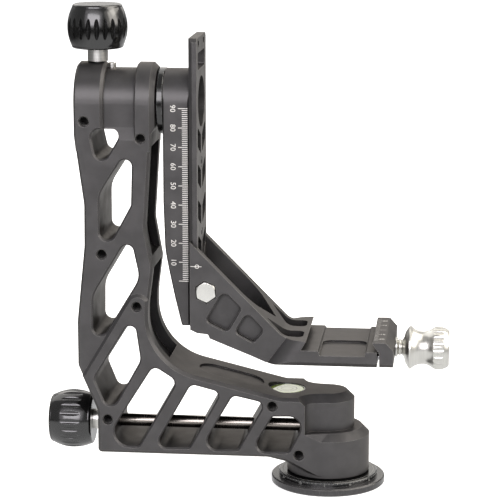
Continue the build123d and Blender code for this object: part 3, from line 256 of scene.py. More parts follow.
class Graph:
    """A material's node tree with short calls to add and link nodes."""

    BEVEL_SAMPLES = 6
    SHELTER_SAMPLES = 4
    EDGE_SPAN: Span = (0.975, 0.82)
    FIRST_COLOUR, SECOND_COLOUR, MIXED_COLOUR = 6, 7, 2

    def __init__(self, name: str) -> None:
        """Start a material with one surface shader.

        Args:
            name: The material's name.
        """
        self.material = bpy.data.materials.new(name)
        self.material.use_nodes = True
        self.tree = self.material.node_tree
        self.tree.nodes.clear()
        self.output = self.add("ShaderNodeOutputMaterial")
        self.surface = self.add("ShaderNodeBsdfPrincipled")
        self.link(self.surface.outputs["BSDF"], self.output.inputs["Surface"])

    def add(self, kind: str, **settings: object) -> bpy.types.Node:
        """Add a node and set its properties.

        Args:
            kind: Blender's node type.
            **settings: Properties of the node.

        Returns:
            The new node.
        """
        node = self.tree.nodes.new(kind)
        for key, value in settings.items():
            setattr(node, key, value)
        return node

    def link(self, source: bpy.types.NodeSocket, target: bpy.types.NodeSocket) -> None:
        """Link two sockets."""
        self.tree.links.new(source, target)

    def set(self, **values: object) -> None:
        """Set sockets of the surface shader, written with underscores for spaces."""
        for key, value in values.items():
            self.surface.inputs[key.replace("_", " ")].default_value = value

    def drive(self, **sources: bpy.types.NodeSocket) -> None:
        """Link patterns to sockets of the surface shader, written with underscores."""
        for key, source in sources.items():
            self.link(source, self.surface.inputs[key.replace("_", " ")])

    def place(self, scale: Point = (1.0, 1.0, 1.0)) -> bpy.types.NodeSocket:
        """Object coordinates, stretched along the axes.

        Args:
            scale: Stretch along X, Y and Z.

        Returns:
            The socket with the stretched coordinates.
        """
        source = self.add("ShaderNodeTexCoord")
        mapping = self.add("ShaderNodeMapping")
        mapping.inputs["Scale"].default_value = scale
        self.link(source.outputs["Object"], mapping.inputs["Vector"])
        return mapping.outputs["Vector"]

    def noise(self, vector: bpy.types.NodeSocket, grain: Grain) -> bpy.types.NodeSocket:
        """A noise pattern.

        Args:
            vector: Coordinates to read.
            grain: How fine it is.

        Returns:
            The pattern, about 0 to 1.
        """
        node = self.add("ShaderNodeTexNoise")
        node.inputs["Scale"].default_value = grain.scale
        node.inputs["Detail"].default_value = grain.octaves
        self.link(vector, node.inputs["Vector"])
        return node.outputs["Fac"]

    def spread(self, value: bpy.types.NodeSocket, span: Span,
               becomes: Span = WHOLE) -> bpy.types.NodeSocket:
        """Map a span of a value to another span, clamped.

        Args:
            value: The value to map.
            span: The two ends of what comes in.
            becomes: What the two ends become.

        Returns:
            The mapped value.
        """
        node = self.add("ShaderNodeMapRange")
        for socket, number in zip(("From Min", "From Max", "To Min", "To Max"), span + becomes):
            node.inputs[socket].default_value = number
        self.link(value, node.inputs["Value"])
        return node.outputs["Result"]

    def roughen(self, pattern: bpy.types.NodeSocket, span: Span, roughness: float,
                swing: Span) -> None:
        """Let the surface's roughness follow a pattern.

        Args:
            pattern: The pattern to follow.
            span: The part of the pattern that counts.
            roughness: The surface's roughness on the whole.
            swing: What is added to it at the two ends of the span.
        """
        ends = (roughness + swing[0], roughness + swing[1])
        self.drive(Roughness=self.spread(pattern, span, ends))

    def math(self, operation: str, first: bpy.types.NodeSocket,
             second: Union[float, bpy.types.NodeSocket] = 0.0) -> bpy.types.NodeSocket:
        """Work out one value from one or two others.

        Args:
            operation: Blender's name of the operation.
            first: The first value.
            second: A number or a socket, of no effect where the operation takes one value.

        Returns:
            The result.
        """
        node = self.add("ShaderNodeMath", operation=operation)
        self.link(first, node.inputs[0])
        if isinstance(second, bpy.types.NodeSocket):
            self.link(second, node.inputs[1])
        else:
            node.inputs[1].default_value = second
        return node.outputs["Value"]

    def blend(self, share: bpy.types.NodeSocket, first: Union[Colour, bpy.types.NodeSocket],
              second: Union[Colour, bpy.types.NodeSocket]) -> bpy.types.NodeSocket:
        """Mix two colours.

        Args:
            share: How much of the second colour shows.
            first: A colour or a socket.
            second: A colour or a socket.

        Returns:
            The mixed colour.
        """
        node = self.add("ShaderNodeMix", data_type="RGBA")
        self.link(share, node.inputs["Factor"])
        for number, value in ((self.FIRST_COLOUR, first), (self.SECOND_COLOUR, second)):
            socket = node.inputs[number]
            if isinstance(value, bpy.types.NodeSocket):
                self.link(value, socket)
            else:
                socket.default_value = value
        return node.outputs[self.MIXED_COLOUR]

    def rounded_normal(self, radius: float) -> bpy.types.NodeSocket:
        """Normals softened across sharp edges.

        Args:
            radius: Radius of the softening in metres.

        Returns:
            The softened normal.
        """
        node = self.add("ShaderNodeBevel", samples=self.BEVEL_SAMPLES)
        node.inputs["Radius"].default_value = radius
        return node.outputs["Normal"]

    def edge_share(self, width: float) -> bpy.types.NodeSocket:
        """How near a point is to a sharp edge.

        Args:
            width: Width of the band beside an edge, in metres.

        Returns:
            0 on open faces, up to 1 on the edge.
        """
        soft = self.rounded_normal(width)
        flat = self.add("ShaderNodeNewGeometry").outputs["Normal"]
        node = self.add("ShaderNodeVectorMath", operation="DOT_PRODUCT")
        self.link(soft, node.inputs[0])
        self.link(flat, node.inputs[1])
        return self.spread(node.outputs["Value"], self.EDGE_SPAN)

    def openness(self, reach: float, span: Span) -> bpy.types.NodeSocket:
        """How open the surroundings of a point are.

        Args:
            reach: How far neighbouring faces count, in metres.
            span: The open shares of the surroundings that become 0 and 1.

        Returns:
            0 deep in a corner, 1 on open faces.
        """
        node = self.add("ShaderNodeAmbientOcclusion", samples=self.SHELTER_SAMPLES)
        node.inputs["Distance"].default_value = reach
        return self.spread(node.outputs["AO"], span)

    def relief(self, height: bpy.types.NodeSocket, strength: float,
               rounding: float = 0.0) -> None:
        """Give the surface a fine relief, over edges that read as a little rounded.

        Args:
            height: The height pattern.
            strength: How strongly it shows.
            rounding: Radius of the rounded edges in metres, 0 for none.
        """
        node = self.add("ShaderNodeBump")
        node.inputs["Strength"].default_value = strength
        node.inputs["Distance"].default_value = RELIEF_DEPTH
        self.link(height, node.inputs["Height"])
        if rounding:
            self.link(self.rounded_normal(rounding), node.inputs["Normal"])
        self.drive(Normal=node.outputs["Normal"])


# --- finishes ------------------------------------------------------------------------------


@dataclass(frozen=True)
class Anodised:
    """Hard-anodised machined aluminium: blasted grain, painted highlights along its edges,
    painted shade in corners and under other parts.
    """

    name: str
    colour: Colour
    # Pale colour of the painted edge highlights.
    edge_colour: Colour
    roughness: float
    metallic: float = 0.5
    grazing_tint: Colour = (0.5, 0.46, 0.42, 1.0)
    mottle: Grain = Grain(120.0, 5.0)
    mottle_span: Span = (0.35, 0.65)
    mottle_factor: float = 0.86
    rough_span: Span = (0.3, 0.7)
    rough_swing: Span = (-0.04, 0.05)
    blasting: Grain = Grain(5200.0, 2.0)
    blasting_strength: float = 0.22
    edge_width: float = 0.35 * MM
    rounding: float = 0.25 * MM
    # Painted shade: how far the surroundings are looked at, which openness counts, and how dark a
    # copy of the colour fills closed places.
    shelter_reach: float = 25.0 * MM
    shelter_span: Span = (0.15, 0.8)
    shelter_factor: float = 0.18

    def build(self) -> bpy.types.Material:
        """Make the material.

        Returns:
            The finished material.
        """
        graph = Graph(self.name)
        where = graph.place()
        mottle = graph.noise(where, self.mottle)
        darker = shaded(self.colour, self.mottle_factor)
        # Painted shade: a dim copy of the colour is blended in where the surroundings are closed,
        # in corners and under other parts.
        deep = shaded(self.colour, self.shelter_factor)
        body = graph.blend(graph.spread(mottle, self.mottle_span), darker, self.colour)
        opened = graph.openness(self.shelter_reach, self.shelter_span)
        painted_shade_body = graph.blend(opened, deep, body)
        # Painted highlight: sharp edges in the open turn to the pale edge colour, standing in for
        # light caught on the chamfers.
        edge = graph.math("MULTIPLY", graph.edge_share(self.edge_width), opened)
        graph.drive(Base_Color=graph.blend(edge, painted_shade_body, self.edge_colour))
        graph.roughen(mottle, self.rough_span, self.roughness, self.rough_swing)
        graph.relief(graph.noise(where, self.blasting), self.blasting_strength, self.rounding)
        graph.set(Metallic=self.metallic, Specular_Tint=self.grazing_tint)
        return graph.material


@dataclass(frozen=True)
class Gloss:
    """Glossy black finish with faint handling marks and, where asked, painted highlights along
    its edges.
    """

    name: str
    colour: Colour
    roughness: float
    metallic: float = 0.0
    shine: float = 0.5
    # Brightness of the painted edge highlights, 0 for none.
    edge_level: float = 0.0
    edge_width: float = 0.3 * MM
    rounding: float = 0.3 * MM
    smudges: Grain = Grain(260.0, 5.0)
    smudge_span: Span = (0.4, 0.7)
    smudge_factor: float = 1.6
    rough_span: Span = (0.35, 0.7)
    rough_swing: Span = (0.0, 0.08)
    skin: Grain = Grain(2600.0, 3.0)
    skin_strength: float = 0.06

    def build(self) -> bpy.types.Material:
        """Make the material.

        Returns:
            The finished material.
        """
        graph = Graph(self.name)
        where = graph.place()
        smudge = graph.noise(where, self.smudges)
        lighter = shaded(self.colour, self.smudge_factor)
        shade = graph.blend(graph.spread(smudge, self.smudge_span), self.colour, lighter)
        # Painted highlight: sharp edges turn pale grey, standing in for light caught on machined
        # bevels.
        if self.edge_level:
            pale = shaded(WHITE, self.edge_level)
            shade = graph.blend(graph.edge_share(self.edge_width), shade, pale)
        graph.drive(Base_Color=shade)
        graph.roughen(smudge, self.rough_span, self.roughness, self.rough_swing)
        graph.relief(graph.noise(where, self.skin), self.skin_strength, self.rounding)
        graph.set(Metallic=self.metallic, Specular_IOR_Level=self.shine)
        return graph.material


@dataclass(frozen=True)
class Turned:
    """Bare metal turned on a lathe: fine rings about one axis."""

    name: str
    colour: Colour
    roughness: float
    axis: Axis
    rings: Grain = Grain(2600.0, 3.0)
    ring_span: Span = (0.35, 0.65)
    ring_factor: float = 0.88
    ring_strength: float = 0.03
    patches: Grain = Grain(150.0, 3.0)
    rough_span: Span = (0.7, 1.3)
    rough_swing: Span = (-0.03, 0.05)
    rounding: float = 0.2 * MM

    def build(self) -> bpy.types.Material:
        """Make the material.

        Returns:
            The finished material.
        """
        graph = Graph(self.name)
        lines = graph.noise(graph.place(self.axis.value), self.rings)
        patch = graph.noise(graph.place(), self.patches)
        share = graph.spread(lines, self.ring_span)
        darker = shaded(self.colour, self.ring_factor)
        graph.drive(Base_Color=graph.blend(share, darker, self.colour))
        uneven = graph.math("ADD", lines, patch)
        graph.roughen(uneven, self.rough_span, self.roughness, self.rough_swing)
        graph.relief(lines, self.ring_strength, self.rounding)
        graph.set(Metallic=1.0)
        return graph.material


@dataclass(frozen=True)
class TurnedAnodised:
    """Dark anodised aluminium as it leaves the lathe: fine rings about Z, a brushed rim, and
    painted highlights along its edges.
    """

    name: str
    colour: Colour
    roughness: float
    metallic: float = 0.4
    # Pale colour of the painted edge highlights.
    edge_colour: Colour = (0.45, 0.44, 0.42, 1.0)
    edge_width: float = 0.3 * MM
    rounding: float = 0.2 * MM
    rings: Grain = Grain(4200.0, 2.0)
    brushing: Grain = Grain(3000.0, 3.0)
    brush_stretch: Point = (1.0, 1.0, 0.12)
    brush_span: Span = (0.4, 0.65)
    brush_factor: float = 1.5
    rough_span: Span = (0.4, 0.8)
    rough_swing: Span = (-0.05, 0.1)
    line_strength: float = 0.08

    def ring_pattern(self, graph: Graph) -> bpy.types.NodeSocket:
        """A noise that reads only the distance from the Z axis.

        Args:
            graph: The material's graph.

        Returns:
            The pattern, about 0 to 1.
        """
        apart = graph.add("ShaderNodeSeparateXYZ")
        graph.link(graph.place(), apart.inputs["Vector"])
        flat = graph.add("ShaderNodeCombineXYZ")
        graph.link(apart.outputs["X"], flat.inputs["X"])
        graph.link(apart.outputs["Y"], flat.inputs["Y"])
        length = graph.add("ShaderNodeVectorMath", operation="LENGTH")
        graph.link(flat.outputs["Vector"], length.inputs[0])
        along = graph.add("ShaderNodeCombineXYZ")
        graph.link(length.outputs["Value"], along.inputs["X"])
        return graph.noise(along.outputs["Vector"], self.rings)

    def build(self) -> bpy.types.Material:
        """Make the material.

        Returns:
            The finished material.
        """
        graph = Graph(self.name)
        brushed = graph.noise(graph.place(self.brush_stretch), self.brushing)
        lines = graph.math("MAXIMUM", self.ring_pattern(graph), brushed)
        lighter = shaded(self.colour, self.brush_factor)
        body = graph.blend(graph.spread(brushed, self.brush_span), self.colour, lighter)
        # Painted highlight: sharp edges turn to the pale edge colour, standing in for light
        # caught on the chamfers.
        with_edge_highlight = graph.blend(graph.edge_share(self.edge_width), body, self.edge_colour)
        graph.drive(Base_Color=with_edge_highlight)
        graph.roughen(lines, self.rough_span, self.roughness, self.rough_swing)
        graph.relief(lines, self.line_strength, self.rounding)
        graph.set(Metallic=self.metallic)
        return graph.material


@dataclass(frozen=True)
class Vial:
    """Tinted fluid of a spirit level: one tint in the middle, cloudy into another at its wall."""

    name: str
    colour: Colour
    rim_colour: Colour
    centre: Point = LEVEL_CENTRE
    rim_span: Span = (6.2 * MM, 9.0 * MM)
    clouds: Grain = Grain(420.0, 3.0)
    cloud_span: Span = (0.3, 0.7)
    cloud_reach: Span = (-0.9 * MM, 0.9 * MM)
    cloud_roughness: Span = (0.03, 0.09)
    cloud_strength: float = 0.05
    coat_roughness: float = 0.02

    def build(self) -> bpy.types.Material:
        """Make the material.

        Returns:
            The finished material.
        """
        graph = Graph(self.name)
        where = graph.place()
        away = graph.add("ShaderNodeVectorMath", operation="DISTANCE")
        graph.link(where, away.inputs[0])
        away.inputs[1].default_value = self.centre
        cloud = graph.noise(where, self.clouds)
        ripple = graph.spread(cloud, self.cloud_span, self.cloud_reach)
        reach = graph.math("ADD", away.outputs["Value"], ripple)
        share = graph.spread(reach, self.rim_span)
        graph.drive(Base_Color=graph.blend(share, self.colour, self.rim_colour),
                    Roughness=graph.spread(cloud, self.cloud_span, self.cloud_roughness))
        graph.relief(cloud, self.cloud_strength)
        graph.set(Coat_Weight=1.0, Coat_Roughness=self.coat_roughness)
        return graph.material


@dataclass(frozen=True)
class Engraving:
    """Laser-engraved or printed marks with a fine speckle."""

    name: str
    colour: Colour
    roughness: float = 0.7
    speckles: Grain = Grain(6000.0, 2.0)
    speckle_span: Span = (0.3, 0.6)
    speckle_factor: float = 0.7

    def build(self) -> bpy.types.Material:
        """Make the material.

        Returns:
            The finished material.
        """
        graph = Graph(self.name)
        speckle = graph.noise(graph.place(), self.speckles)
        share = graph.spread(speckle, self.speckle_span)
        dimmer = shaded(self.colour, self.speckle_factor)
        graph.drive(Base_Color=graph.blend(share, dimmer, self.colour))
        graph.set(Roughness=self.roughness)
        return graph.material


Finish = Union[Anodised, Gloss, Turned, TurnedAnodised, Vial, Engraving]


def head_finishes() -> Dict[str, Finish]:
    """The finishes of this head, by name.

    Returns:
        A recipe for each finish.
    """
    recipes: Sequence[Finish] = (
        # The pale second colour of dark_anodised paints highlights on its edges.
        Anodised("dark_anodised", (0.085, 0.0835, 0.085, 1.0), (0.27, 0.265, 0.25, 1.0), 0.38),
        TurnedAnodised("turned_anodised", (0.05, 0.049, 0.05, 1.0), 0.22),
        # The edge level of gloss_black_metal paints pale highlights on the ring's edges.
        Gloss("gloss_black_metal", (0.005, 0.005, 0.005, 1.0), 0.13,
              metallic=0.1, shine=0.9, edge_level=0.45),
        Gloss("black_knob", (0.002, 0.002, 0.002, 1.0), 0.12, shine=1.0),
        Gloss("black_screw", (0.02, 0.02, 0.022, 1.0), 0.3, metallic=0.6),
        Turned("rod_steel", (0.3, 0.275, 0.25, 1.0), 0.24, Axis.X),
        Turned("stainless_x", (0.72, 0.71, 0.67, 1.0), 0.31, Axis.X),
        Turned("stainless_y", (0.9, 0.89, 0.85, 1.0), 0.22, Axis.Y),
        Turned("stainless_z", (0.9, 0.89, 0.85, 1.0), 0.32, Axis.Z),
        Turned("bearing_steel", (0.52, 0.52, 0.53, 1.0), 0.28, Axis.Z),
        Turned("brass", (0.75, 0.52, 0.2, 1.0), 0.25, Axis.X),
        Turned("bezel_metal", (0.42, 0.43, 0.4, 1.0), 0.3, Axis.Z),
        Vial("level_fluid", (0.56, 0.64, 0.34, 1.0), (0.42, 0.6, 0.02, 1.0)),
        Vial("level_air", (0.82, 0.86, 0.66, 1.0), (0.7, 0.78, 0.3, 1.0)),
        Engraving("engraving", (0.78, 0.77, 0.73, 1.0)),
        Engraving("faint_engraving", (0.4, 0.4, 0.38, 1.0)),
        Engraving("level_ink", (0.12, 0.14, 0.05, 1.0)),
    )
    return {recipe.name: recipe for recipe in recipes}


@dataclass
class FinishBook:
    """The finishes of the head, each made at its first use and handed out by name."""

    recipes: Dict[str, Finish] = field(default_factory=head_finishes)
    made: Dict[str, bpy.types.Material] = field(default_factory=dict)

    def get(self, name: str) -> bpy.types.Material:
        """Hand out a finish, making it at its first use.

        Args:
            name: The finish's name in the book.

        Returns:
            The material.
        """
        if name not in self.made:
            self.made[name] = self.recipes[name].build()
        return self.made[name]


@dataclass
class SolidParts:
    """The machined parts that come from the frame, and the finish of each."""

    book: FinishBook
    own_finish: Dict[str, str] = field(default_factory=lambda: {
        "base_plate": "turned_anodised", "pan_lock_rod": "rod_steel",
        "pan_knob_sleeve": "stainless_x", "tilt_knob_sleeve": "stainless_z",
        "height_bolt": "stainless_y", "height_washer": "stainless_y",
        "clamp_knob_grip": "stainless_x", "clamp_washer": "stainless_x",
        "clamp_screw": "stainless_x", "top_screw": "stainless_z",
        "hub_bolt": "stainless_x", "hub_washer": "stainless_x"})

    def dress(self) -> None:
        """Give every part its own finish, or else the one its record names."""
        for entry in frame["record"]["subparts"]:
            node = entry["node"]
            finish = self.own_finish.get(node, entry["material_slot"])
            Bench.coat(frame["nodes"][node], self.book.get(finish))
            log.info("%s: %s", node, finish)


# --- engraved scales -----------------------------------------------------------------------


@dataclass
class HeightScale:
    """The millimetre scale on the swing arm and the index mark on the cradle."""

    book: FinishBook
    last: int = 90
    figure_step: int = 10
    zero_z: float = 110.2 * MM
    tick_right_x: float = -72.0 * MM
    short_left_x: float = -74.9 * MM
    long_left_x: float = -76.9 * MM
    tick_width: float = 0.36 * MM
    proud: float = 0.02 * MM
    numeral_x: float = -79.7 * MM
    numeral_height: float = 2.7 * MM
    arm_face_y: float = -17.0 * MM
    cheek_face_y: float = -22.0 * MM
    index_z: float = 119.1 * MM
    index_left_x: float = -70.2 * MM
    index_right_x: float = -64.5 * MM
    index_width: float = 0.3 * MM
    ring_x: float = -66.9 * MM
    ring_r: float = 0.95 * MM
    ring_line_r: float = 0.15 * MM
    ring_segments: int = 32
    ring_flatness: float = 0.12

    def tick(self, reading: int) -> bpy.types.Object:
        """One mark of the scale.

        Args:
            reading: The mark's reading in millimetres.

        Returns:
            The mark, long where a figure stands.
        """
        left = self.short_left_x if reading % self.figure_step else self.long_left_x
        middle = ((left + self.tick_right_x) / 2, self.arm_face_y, self.zero_z + reading * MM)
        return Bench.bar((self.tick_right_x - left, 2 * self.proud, self.tick_width), middle)

    def figure(self, reading: int) -> bpy.types.Object:
        """One figure of the scale, facing the front and read downwards.

        Args:
            reading: The reading in millimetres.

        Returns:
            The figure, beside its mark.
        """
        turn = Matrix(((0, 1, 0), (0, 0, -1), (-1, 0, 0))).to_4x4()
        where = Matrix.Translation((self.numeral_x, self.arm_face_y, self.zero_z + reading * MM))
        return Bench.numeral(str(reading), self.numeral_height, where @ turn)

    def build_marks(self) -> None:
        """Ticks and figures on the arm."""
        marks = [self.tick(reading) for reading in range(self.last + 1)]
        for reading in range(self.figure_step, self.last + 1, self.figure_step):
            marks.append(self.figure(reading))
        scale = Bench.join(marks, "height_scale")
        Bench.coat(scale, self.book.get("engraving"))
        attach(scale, "swing_arm")
        log.info("height_scale: %d marks", self.last + 1)

    def build_index(self) -> None:
        """Line and ring on the cradle's cheek."""
        middle_x = (self.index_left_x + self.index_right_x) / 2
        length = self.index_right_x - self.index_left_x
        line = Bench.bar((length, 2 * self.proud, self.index_width),
                         (middle_x, self.cheek_face_y, self.index_z))
        ring = Bench.ring(self.ring_r, self.ring_line_r,
                          (self.ring_x, self.cheek_face_y, self.index_z),
                          self.ring_segments, self.ring_flatness, turn=(pi / 2, 0, 0))
        mark = Bench.join([line, ring], "index_mark")
        Bench.coat(mark, self.book.get("engraving"))
        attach(mark, "cradle")
        log.info("index_mark: a line and a ring")

    def build(self) -> None:
        """Scale and index."""
        self.build_marks()
        self.build_index()


@dataclass
class DegreeScale:
    """Marks and figures round the degree ring's wall, and a fine line on its top."""

    book: FinishBook
    radius: float = 26.0 * MM
    low_z: float = 4.0 * MM
    step_deg: int = 5
    tick_depth: float = 0.04 * MM
    tick_width: float = 0.16 * MM
    tick_height: float = 0.5 * MM
    tick_lift: float = 1.65 * MM
    figure_step_deg: int = 30
    zero_deg: int = -90
    figure_height: float = 0.9 * MM
    figure_lift: float = 0.72 * MM
    figure_proud: float = 0.02 * MM
    line_z: float = 6.4 * MM
    line_ring_r: float = 24.0 * MM
    line_r: float = 0.1 * MM
    line_segments: int = 128
    line_flatness: float = 0.2

    def ticks(self) -> List[bpy.types.Object]:
        """The marks, copied round the wall from one model.

        Returns:
            A mark for every step.
        """
        model = Bench.bar((self.tick_depth, self.tick_width, self.tick_height), (0, 0, 0))
        lift = Matrix.Translation((self.radius, 0, self.low_z + self.tick_lift))
        marks = [Bench.copy_at(model, Matrix.Rotation(radians(degree), 4, "Z") @ lift)
                 for degree in range(0, 360, self.step_deg)]
        bpy.data.objects.remove(model)
        return marks

    def figures(self) -> List[bpy.types.Object]:
        """The figures, upright on the wall, with 0 at the front.

        Returns:
            A figure for every figure step.
        """
        upright = Matrix(((0, 0, 1), (1, 0, 0), (0, 1, 0))).to_4x4()
        lift = Matrix.Translation((self.radius + self.figure_proud, 0,
                                   self.low_z + self.figure_lift))
        marks = []
        for degree in range(0, 360, self.figure_step_deg):
            turn = Matrix.Rotation(radians(degree + self.zero_deg), 4, "Z")
            marks.append(Bench.numeral(str(degree), self.figure_height, turn @ lift @ upright))
        return marks

    def build(self) -> None:
        """Make the ring's marks as one piece on the base."""
        marks = self.ticks() + self.figures()
        marks.append(Bench.ring(self.line_ring_r, self.line_r, (0, 0, self.line_z),
                                self.line_segments, self.line_flatness))
        scale = Bench.join(marks, "degree_marks")
        Bench.coat(scale, self.book.get("faint_engraving"))
        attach(scale, "pan_base")
        log.info("degree_marks: a mark every %d degrees", self.step_deg)


@dataclass
class JawScale:
    """Cross lines and figures engraved on top of the moving jaw."""

    book: FinishBook
    top_z: float = 82.68 * MM
    left_x: float = 24.6 * MM
    right_x: float = 30.2 * MM
    short_right_x: float = 26.6 * MM
    half_length: float = 22.5 * MM
    step: float = 2.5 * MM
    long_every: int = 4
    line_width: float = 0.18 * MM
    proud: float = 0.02 * MM
    figure_x: float = 28.6 * MM
    figure_gap: float = 1.1 * MM
    figure_height: float = 1.9 * MM
    figure_step: int = 10

    def line_end(self, number: int) -> float:
        """Where a line ends on the right.

        Args:
            number: The line's number, counted from the middle one.

        Returns:
            X in metres: right across for the middle line, up to the figure for a long one.
        """
        if number == 0:
            return self.right_x
        if number % self.long_every == 0:
            return self.figure_x - self.figure_gap
        return self.short_right_x

    def line(self, number: int) -> bpy.types.Object:
        """One line across the jaw.

        Args:
            number: The line's number, counted from the middle one.

        Returns:
            The line.
        """
        right = self.line_end(number)
        middle = ((self.left_x + right) / 2, number * self.step, self.top_z)
        return Bench.bar((right - self.left_x, self.line_width, 2 * self.proud), middle)

    def figure(self, number: int) -> bpy.types.Object:
        """The figure at the end of a long line.

        Args:
            number: The line's number, counted from the middle one.

        Returns:
            The figure, lying on the jaw.
        """
        where = Matrix.Translation((self.figure_x, number * self.step, self.top_z + self.proud))
        text = str(abs(number) // self.long_every * self.figure_step)
        return Bench.numeral(text, self.figure_height, where)

    def build(self) -> None:
        """Make the jaw's marks as one piece."""
        marks: List[bpy.types.Object] = []
        steps = int(self.half_length / self.step)
        for number in range(-steps, steps + 1):
            marks.append(self.line(number))
            if number and number % self.long_every == 0:
                marks.append(self.figure(number))
        scale = Bench.join(marks, "jaw_scale")
        Bench.coat(scale, self.book.get("engraving"))
        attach(scale, "clamp_jaw")
        log.info("jaw_scale: %d lines", 2 * steps + 1)


@dataclass
class LevelRings:
    """The two fine circles on the spirit level's lens."""

    book: FinishBook
    centre: Point = LEVEL_CENTRE
    radii: Sequence[float] = (3.1 * MM, 5.2 * MM)
    line_r: float = 0.12 * MM
    segments: int = 64
    flatness: float = 0.25

    def build(self) -> None:
        """Make the circles as one piece on the yoke."""
        circles = [Bench.ring(radius, self.line_r, self.centre, self.segments, self.flatness)
                   for radius in self.radii]
        rings = Bench.join(circles, "level_circles")
        Bench.coat(rings, self.book.get("level_ink"))
        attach(rings, "yoke")
        log.info("level_circles: %d circles", len(self.radii))


# --- threads -------------------------------------------------------------------------------


@dataclass
class Thread:
    """A helical ridge against the wall of a round hole."""

    radius: float
    ridge: float
    pitch: float
    turns: int
    steps: int = 20
    corners: int = 3
    merge_distance: float = 1e-6

    def model(self) -> bpy.types.Object:
        """One thread along Z, its mouth at z = 0 and going down.

        Returns:
            A helical ridge that lies against the hole's wall.
        """
        Bench.clear()
        bpy.ops.mesh.primitive_circle_add(
            vertices=self.corners, radius=self.ridge, fill_type="NGON",
            location=(self.radius, 0, 0), rotation=(pi / 2, pi, 0))
        ridge = Bench.settle(bpy.context.object)
        winding = ridge.modifiers.new("winding", "SCREW")
        winding.axis = "Z"
        winding.screw_offset = -self.pitch
        winding.iterations = self.turns
        winding.steps = self.steps
        winding.render_steps = self.steps
        winding.use_merge_vertices = False
        Bench.pick(ridge)
        bpy.ops.object.modifier_apply(modifier=winding.name)
        bpy.ops.object.mode_set(mode="EDIT")
        bpy.ops.mesh.select_all(action="SELECT")
        bpy.ops.mesh.remove_doubles(threshold=self.merge_distance)
        bpy.ops.mesh.normals_make_consistent(inside=False)
        bpy.ops.object.mode_set(mode="OBJECT")
        return ridge


def accessory_thread() -> Thread:
    """The thread of an accessory hole, for a 1/4 inch screw."""
    return Thread(radius=2.65 * MM, ridge=0.32 * MM, pitch=1.27 * MM, turns=7)


def tripod_thread() -> Thread:
    """The thread under the base, for a 3/8 inch stud."""
    return Thread(radius=4.0 * MM, ridge=0.4 * MM, pitch=1.5875 * MM, turns=6, steps=28)


@dataclass
class TappedHoles:
    """Threads in the accessory holes of the yoke and in the tripod hole of the base."""

    book: FinishBook
    accessory: Thread = field(default_factory=accessory_thread)
    tripod: Thread = field(default_factory=tripod_thread)
    start: float = 0.7 * MM
    upper_half: float = 20.0 * MM
    lower_half: float = 21.7 * MM
    upper_places: Sequence[Tuple[float, float]] = (
        (-125.2, 193.2), (-96.1, 184.7), (-116.9, 124.0))
    lower_places: Sequence[Tuple[float, float]] = (
        (-98.6, 97.0), (-114.6, 36.0), (-27.9, 45.6), (-13.9, 19.5))

    def build_accessory(self) -> None:
        """Put a thread in every accessory hole, front and back."""
        model = self.accessory.model()
        threads: List[bpy.types.Object] = []
        rows = ((self.upper_places, self.upper_half), (self.lower_places, self.lower_half))
        for places, half in rows:
            for x, z in places:
                for side in Side:
                    tip = Matrix.Rotation(side.value * -pi / 2, 4, "X")
                    mouth = (x * MM, side.value * (half - self.start), z * MM)
                    threads.append(Bench.copy_at(model, Matrix.Translation(mouth) @ tip))
        bpy.data.objects.remove(model)
        piece = Bench.join(threads, "accessory_threads")
        Bench.coat(piece, self.book.get("dark_anodised"))
        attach(piece, "yoke")
        log.info("accessory_threads: %d holes", len(threads))

    def build_tripod(self) -> None:
        """Put the thread in the hole under the base."""
        thread = self.tripod.model()
        upside_down = Matrix.Rotation(pi, 4, "X")
        thread.data.transform(Matrix.Translation((0, 0, self.start)) @ upside_down)
        Bench.name(thread, "tripod_thread")
        Bench.coat(thread, self.book.get("bearing_steel"))
        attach(thread, "pan_base")
        log.info("tripod_thread: %d turns", self.tripod.turns)

    def build(self) -> None:
        """Thread all the holes."""
        self.build_accessory()
        self.build_tripod()


# --- studio --------------------------------------------------------------------------------


@dataclass
class SoftBox:
    """One studio lamp aimed at the head."""

    name: str
    place: Point
    size: Tuple[float, float]
    power: float
    tint: Tuple[float, float, float]

    def build(self, target: Vector) -> None:
        """Hang the lamp.

        Args:
            target: The point it is aimed at.
        """
        data = bpy.data.lights.new(self.name, "AREA")
        data.shape = "RECTANGLE"
        data.size, data.size_y = self.size
        data.energy = self.power
        data.color = self.tint
        lamp = bpy.data.objects.new(self.name, data)
        lamp.location = self.place
        aim = target - Vector(self.place)
        lamp.rotation_euler = aim.to_track_quat("-Z", "Y").to_euler()
        bpy.context.scene.collection.objects.link(lamp)


